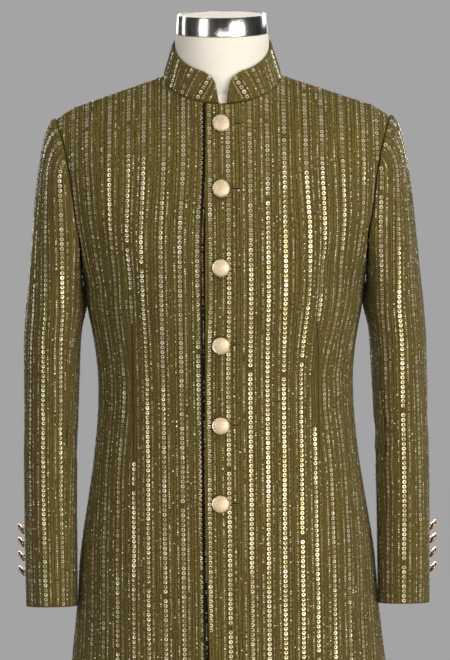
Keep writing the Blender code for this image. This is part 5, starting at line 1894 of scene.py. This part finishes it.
def neck_mesh(finish):
    """The neck: its foot follows the neckline's tilt and its top is level."""
    model = bmesh.new()
    rings = []
    turns = np.linspace(0, 2 * math.pi, NECK_SIDES, endpoint=False)
    for share in NECK_SHARES:
        ring = []
        for turn in turns:
            cosine = math.cos(turn)
            rise = -NECK_DROP if cosine > 0 else NAPE_RISE
            foot = NECK_Z + rise * abs(cosine) + NECK_JOINT_RISE
            high = ease((share - NECK_TAPER_FROM) / (1 - NECK_TAPER_FROM)) ** 2
            radius = NECK_RADIUS + (NECK_TOP_RADIUS - NECK_RADIUS) * high
            depth = NECK_DEPTH + (NECK_TOP_RADIUS - NECK_DEPTH) * high
            z = foot + (NECK_TOP_Z - foot) * share
            ring.append(model.verts.new((radius * math.sin(turn), -depth * cosine, z)))
        rings.append(ring)
    for low, high in zip(rings, rings[1:]):
        for side in range(NECK_SIDES):
            after = (side + 1) % NECK_SIDES
            model.faces.new((low[side], low[after], high[after], high[side]))
    for ring, z in ((rings[0], NECK_Z + NECK_JOINT_RISE), (rings[-1], NECK_TOP_Z)):
        tip = model.verts.new((0, 0, z))
        for side in range(NECK_SIDES):
            model.faces.new((ring[side], ring[(side + 1) % NECK_SIDES], tip))
    bmesh.ops.recalc_face_normals(model, faces=model.faces)
    mesh = bpy.data.meshes.new("neck")
    model.to_mesh(mesh)
    model.free()
    mesh.materials.append(finish)
    mesh.shade_smooth()
    mesh.set_sharp_from_angle(angle=NECK_SHARP_EDGE)
    return mesh


cream_jersey = jersey_finish()
turned_chrome = cap_finish()
pale_disc = mottled_finish("pale_disc", {"Specular IOR Level": 0.35}, DISC_TONES,
                           (220.0, 4.0), (0.55, 0.15), 0.0001)
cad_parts["form_torso"].data.materials.clear()
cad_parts["form_torso"].data.materials.append(cream_jersey)

cap_low = NECK_TOP_Z + TOUCH
cap_floor = CAP_TOP_Z - 2 * CAP_RECESS
cap_profile = ((0.0, cap_low), (CAP_RADIUS - 0.0012, cap_low), (CAP_RADIUS - 0.0003, cap_low + 0.0004),
               (CAP_RADIUS, cap_low + 0.0013), (CAP_TOP_RADIUS + 0.0001, CAP_TOP_Z - 0.0014),
               (CAP_TOP_RADIUS - 0.0003, CAP_TOP_Z - 0.0003), (CAP_TOP_RADIUS - 0.0010, CAP_TOP_Z),
               (CAP_DISC_RADIUS + 0.0009, CAP_TOP_Z), (CAP_DISC_RADIUS + 0.0005, CAP_TOP_Z - 0.0003),
               (CAP_DISC_RADIUS + 0.0004, cap_floor), (0.0, cap_floor))
disc_profile = ((0.0, cap_floor + TOUCH), (CAP_DISC_RADIUS, cap_floor + TOUCH),
                (CAP_DISC_RADIUS, CAP_TOP_Z - 0.0015), (CAP_DISC_RADIUS - 0.0006, CAP_TOP_Z - 0.0008),
                (CAP_DISC_RADIUS - 0.0020, CAP_TOP_Z - 0.0006), (0.0, CAP_TOP_Z - 0.0006))
form_pieces = {
    "form_neck": ("neck_jersey", neck_mesh(cream_jersey), "form_cover"),
    "neck_cap": ("cap_turned", turned_mesh("cap", cap_profile, ROUND_SIDES, turned_chrome), "cap_metal"),
    "cap_disc": ("cap_inlay", turned_mesh("disc", disc_profile, ROUND_SIDES, pale_disc), "form_cover"),
}
for node, (name, mesh, slot) in form_pieces.items():
    piece = add_piece(name, mesh)
    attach(piece, "root")
    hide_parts(node)
print("form pieces:", list(form_pieces))

# %% [markdown]
# ## The stand
# A pole under the form, in a socket on a heavy round foot. The steel is brushed round its axis,
# which a stretched noise gives: long smears along the turn and fine ones across it.

# %% Build the stand
FORM_BOTTOM_Z = 0.700
POLE_RADIUS = 0.016
FLANGE_RADIUS = 0.060
FLANGE_HEIGHT = 0.012
FOOT_RADIUS = 0.200
FOOT_HEIGHT = 0.012
FOOT_BEVEL = 0.003
SOCKET_RADIUS = 0.030
SOCKET_HEIGHT = 0.045
STEEL_TONES = ((0.40, 0.40, 0.39), (0.66, 0.66, 0.65))
BRUSH_STRETCH = (1.0, 1.0, 25.0)
BRUSH = (60.0, 3.0)
BRUSH_RELIEF = 0.00008
STEEL_CLOUDS = (7.0, 2.0)


def steel_finish():
    steel = Finish("brushed_steel", {"Metallic": 1.0})
    place = steel.place()
    brush = steel.noise(steel.stretched(place, BRUSH_STRETCH), *BRUSH)
    clouds = steel.noise(place, *STEEL_CLOUDS)
    steel.set(Base_Color=steel.mix(clouds * 0.6 + brush * 0.3, *STEEL_TONES), Roughness=0.26 + brush * 0.18)
    steel.bump(brush, BRUSH_RELIEF)
    return steel.material


brushed_steel = steel_finish()
socket_low = FOOT_HEIGHT + TOUCH
socket_top = socket_low + SOCKET_HEIGHT
pole_low = socket_top + TOUCH
pole_top = FORM_BOTTOM_Z - 2 * TOUCH - FLANGE_HEIGHT
flange_low = pole_top + TOUCH
flange_top = flange_low + FLANGE_HEIGHT
stand_profiles = {
    "foot_plate": (
        (0.0, 0.0), (FOOT_RADIUS - 0.001, 0.0), (FOOT_RADIUS, 0.001), (FOOT_RADIUS, FOOT_HEIGHT - FOOT_BEVEL),
        (FOOT_RADIUS - 0.0009, FOOT_HEIGHT - 0.0009), (FOOT_RADIUS - FOOT_BEVEL, FOOT_HEIGHT),
        (0.0, FOOT_HEIGHT)),
    "pole_socket": (
        (0.0, socket_low), (SOCKET_RADIUS - 0.0006, socket_low), (SOCKET_RADIUS, socket_low + 0.0006),
        (SOCKET_RADIUS, socket_low + 0.0090), (SOCKET_RADIUS - 0.001, socket_low + 0.0102),
        (POLE_RADIUS + 0.0070, socket_low + 0.0138), (POLE_RADIUS + 0.006, socket_low + 0.0160),
        (POLE_RADIUS + 0.006, socket_top - 0.0008), (POLE_RADIUS + 0.0052, socket_top), (0.0, socket_top)),
    "pole": ((0.0, pole_low), (POLE_RADIUS, pole_low), (POLE_RADIUS, pole_top), (0.0, pole_top)),
    "pole_flange": (
        (0.0, flange_low), (FLANGE_RADIUS - 0.002, flange_low), (FLANGE_RADIUS - 0.0005, flange_low + 0.0006),
        (FLANGE_RADIUS, flange_low + 0.002), (FLANGE_RADIUS, flange_top), (0.0, flange_top)),
}
for node, profile in stand_profiles.items():
    piece = add_piece(node + "_steel", turned_mesh(node, profile, ROUND_SIDES, brushed_steel))
    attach(piece, "root")
    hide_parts(node)
print("stand pieces:", list(stand_profiles))

# %% [markdown]
# ## The cloth on the body
# Every panel rides on the part's one body and stands for its own solid, which is hidden. The table
# gives the flat size each kind was cut to. A cut is broader than the panel looks, because the darts
# take up cloth, and its area is less than its box, because shoulders, armholes and necklines are
# cut away.

CUTS = {
    "front_cloth": {"flat": (0.355, 1.140), "area": 0.315, "held": "draped", "rests_on": ["form_torso"]},
    "back_cloth": {"flat": (0.335, 1.150), "area": 0.295, "held": "draped", "rests_on": ["form_torso"]},
    "sleeve_cloth_top": {"flat": (0.190, 0.670), "area": 0.100, "held": "hung", "rests_on": []},
    "sleeve_cloth_under": {"flat": (0.170, 0.640), "area": 0.083, "held": "hung", "rests_on": []},
    "collar_cloth": {"flat": (0.470, 0.042), "area": 0.017, "held": "stretched", "rests_on": ["form_neck"]},
}


def solid_of(name):
    """The node that a panel stands for."""
    return name.replace("_cloth", "")


def cloth_area(outer):
    along = np.diff(outer, axis=1)[:-1]
    up = np.diff(outer, axis=0)[:, :-1]
    return float(np.linalg.norm(np.cross(along, up), axis=-1).sum())


for name, panel in panels.items():
    kind = name.replace("_left", "").replace("_right", "")
    cut = CUTS[kind]
    half = name.rsplit("_", 1)[-1]
    rests_on = cut["rests_on"] or ["front_cloth_" + half, "back_cloth_" + half]
    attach(panel["piece"], "root")
    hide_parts(solid_of(name))
    for piece in panel["sewn"]:
        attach(piece, "root")
    outer = panel["outer"]
    size = [lengths_along(outer[0])[-1], float(grain_up(outer)[-1].max())]
    print(name, "measures", [round(value, 3) for value in size], "area", round(cloth_area(outer), 4))

# %% [markdown]
# ## Floor
# A pale floor disc catches the stand's shadow. It is staging, not part of the coat.

# %% Lay the floor
FLOOR_RADIUS = 2.4
FLOOR_DROP = 0.0006
FLOOR_DEPTH = 0.02
FLOOR_SIDES = 128
FLOOR_GREYS = ((0.40, 0.40, 0.40), (0.45, 0.45, 0.45))

studio_floor = mottled_finish("studio_floor", {"Specular IOR Level": 0.2}, FLOOR_GREYS,
                              (3.0, 4.0), (0.85, 0.1))
floor_profile = ((0.0, -FLOOR_DEPTH), (FLOOR_RADIUS, -FLOOR_DEPTH), (FLOOR_RADIUS, -FLOOR_DROP),
                 (0.0, -FLOOR_DROP))
floor = add_piece("studio_floor", turned_mesh("studio_floor", floor_profile, FLOOR_SIDES, studio_floor))
print("floor radius:", FLOOR_RADIUS, "m")
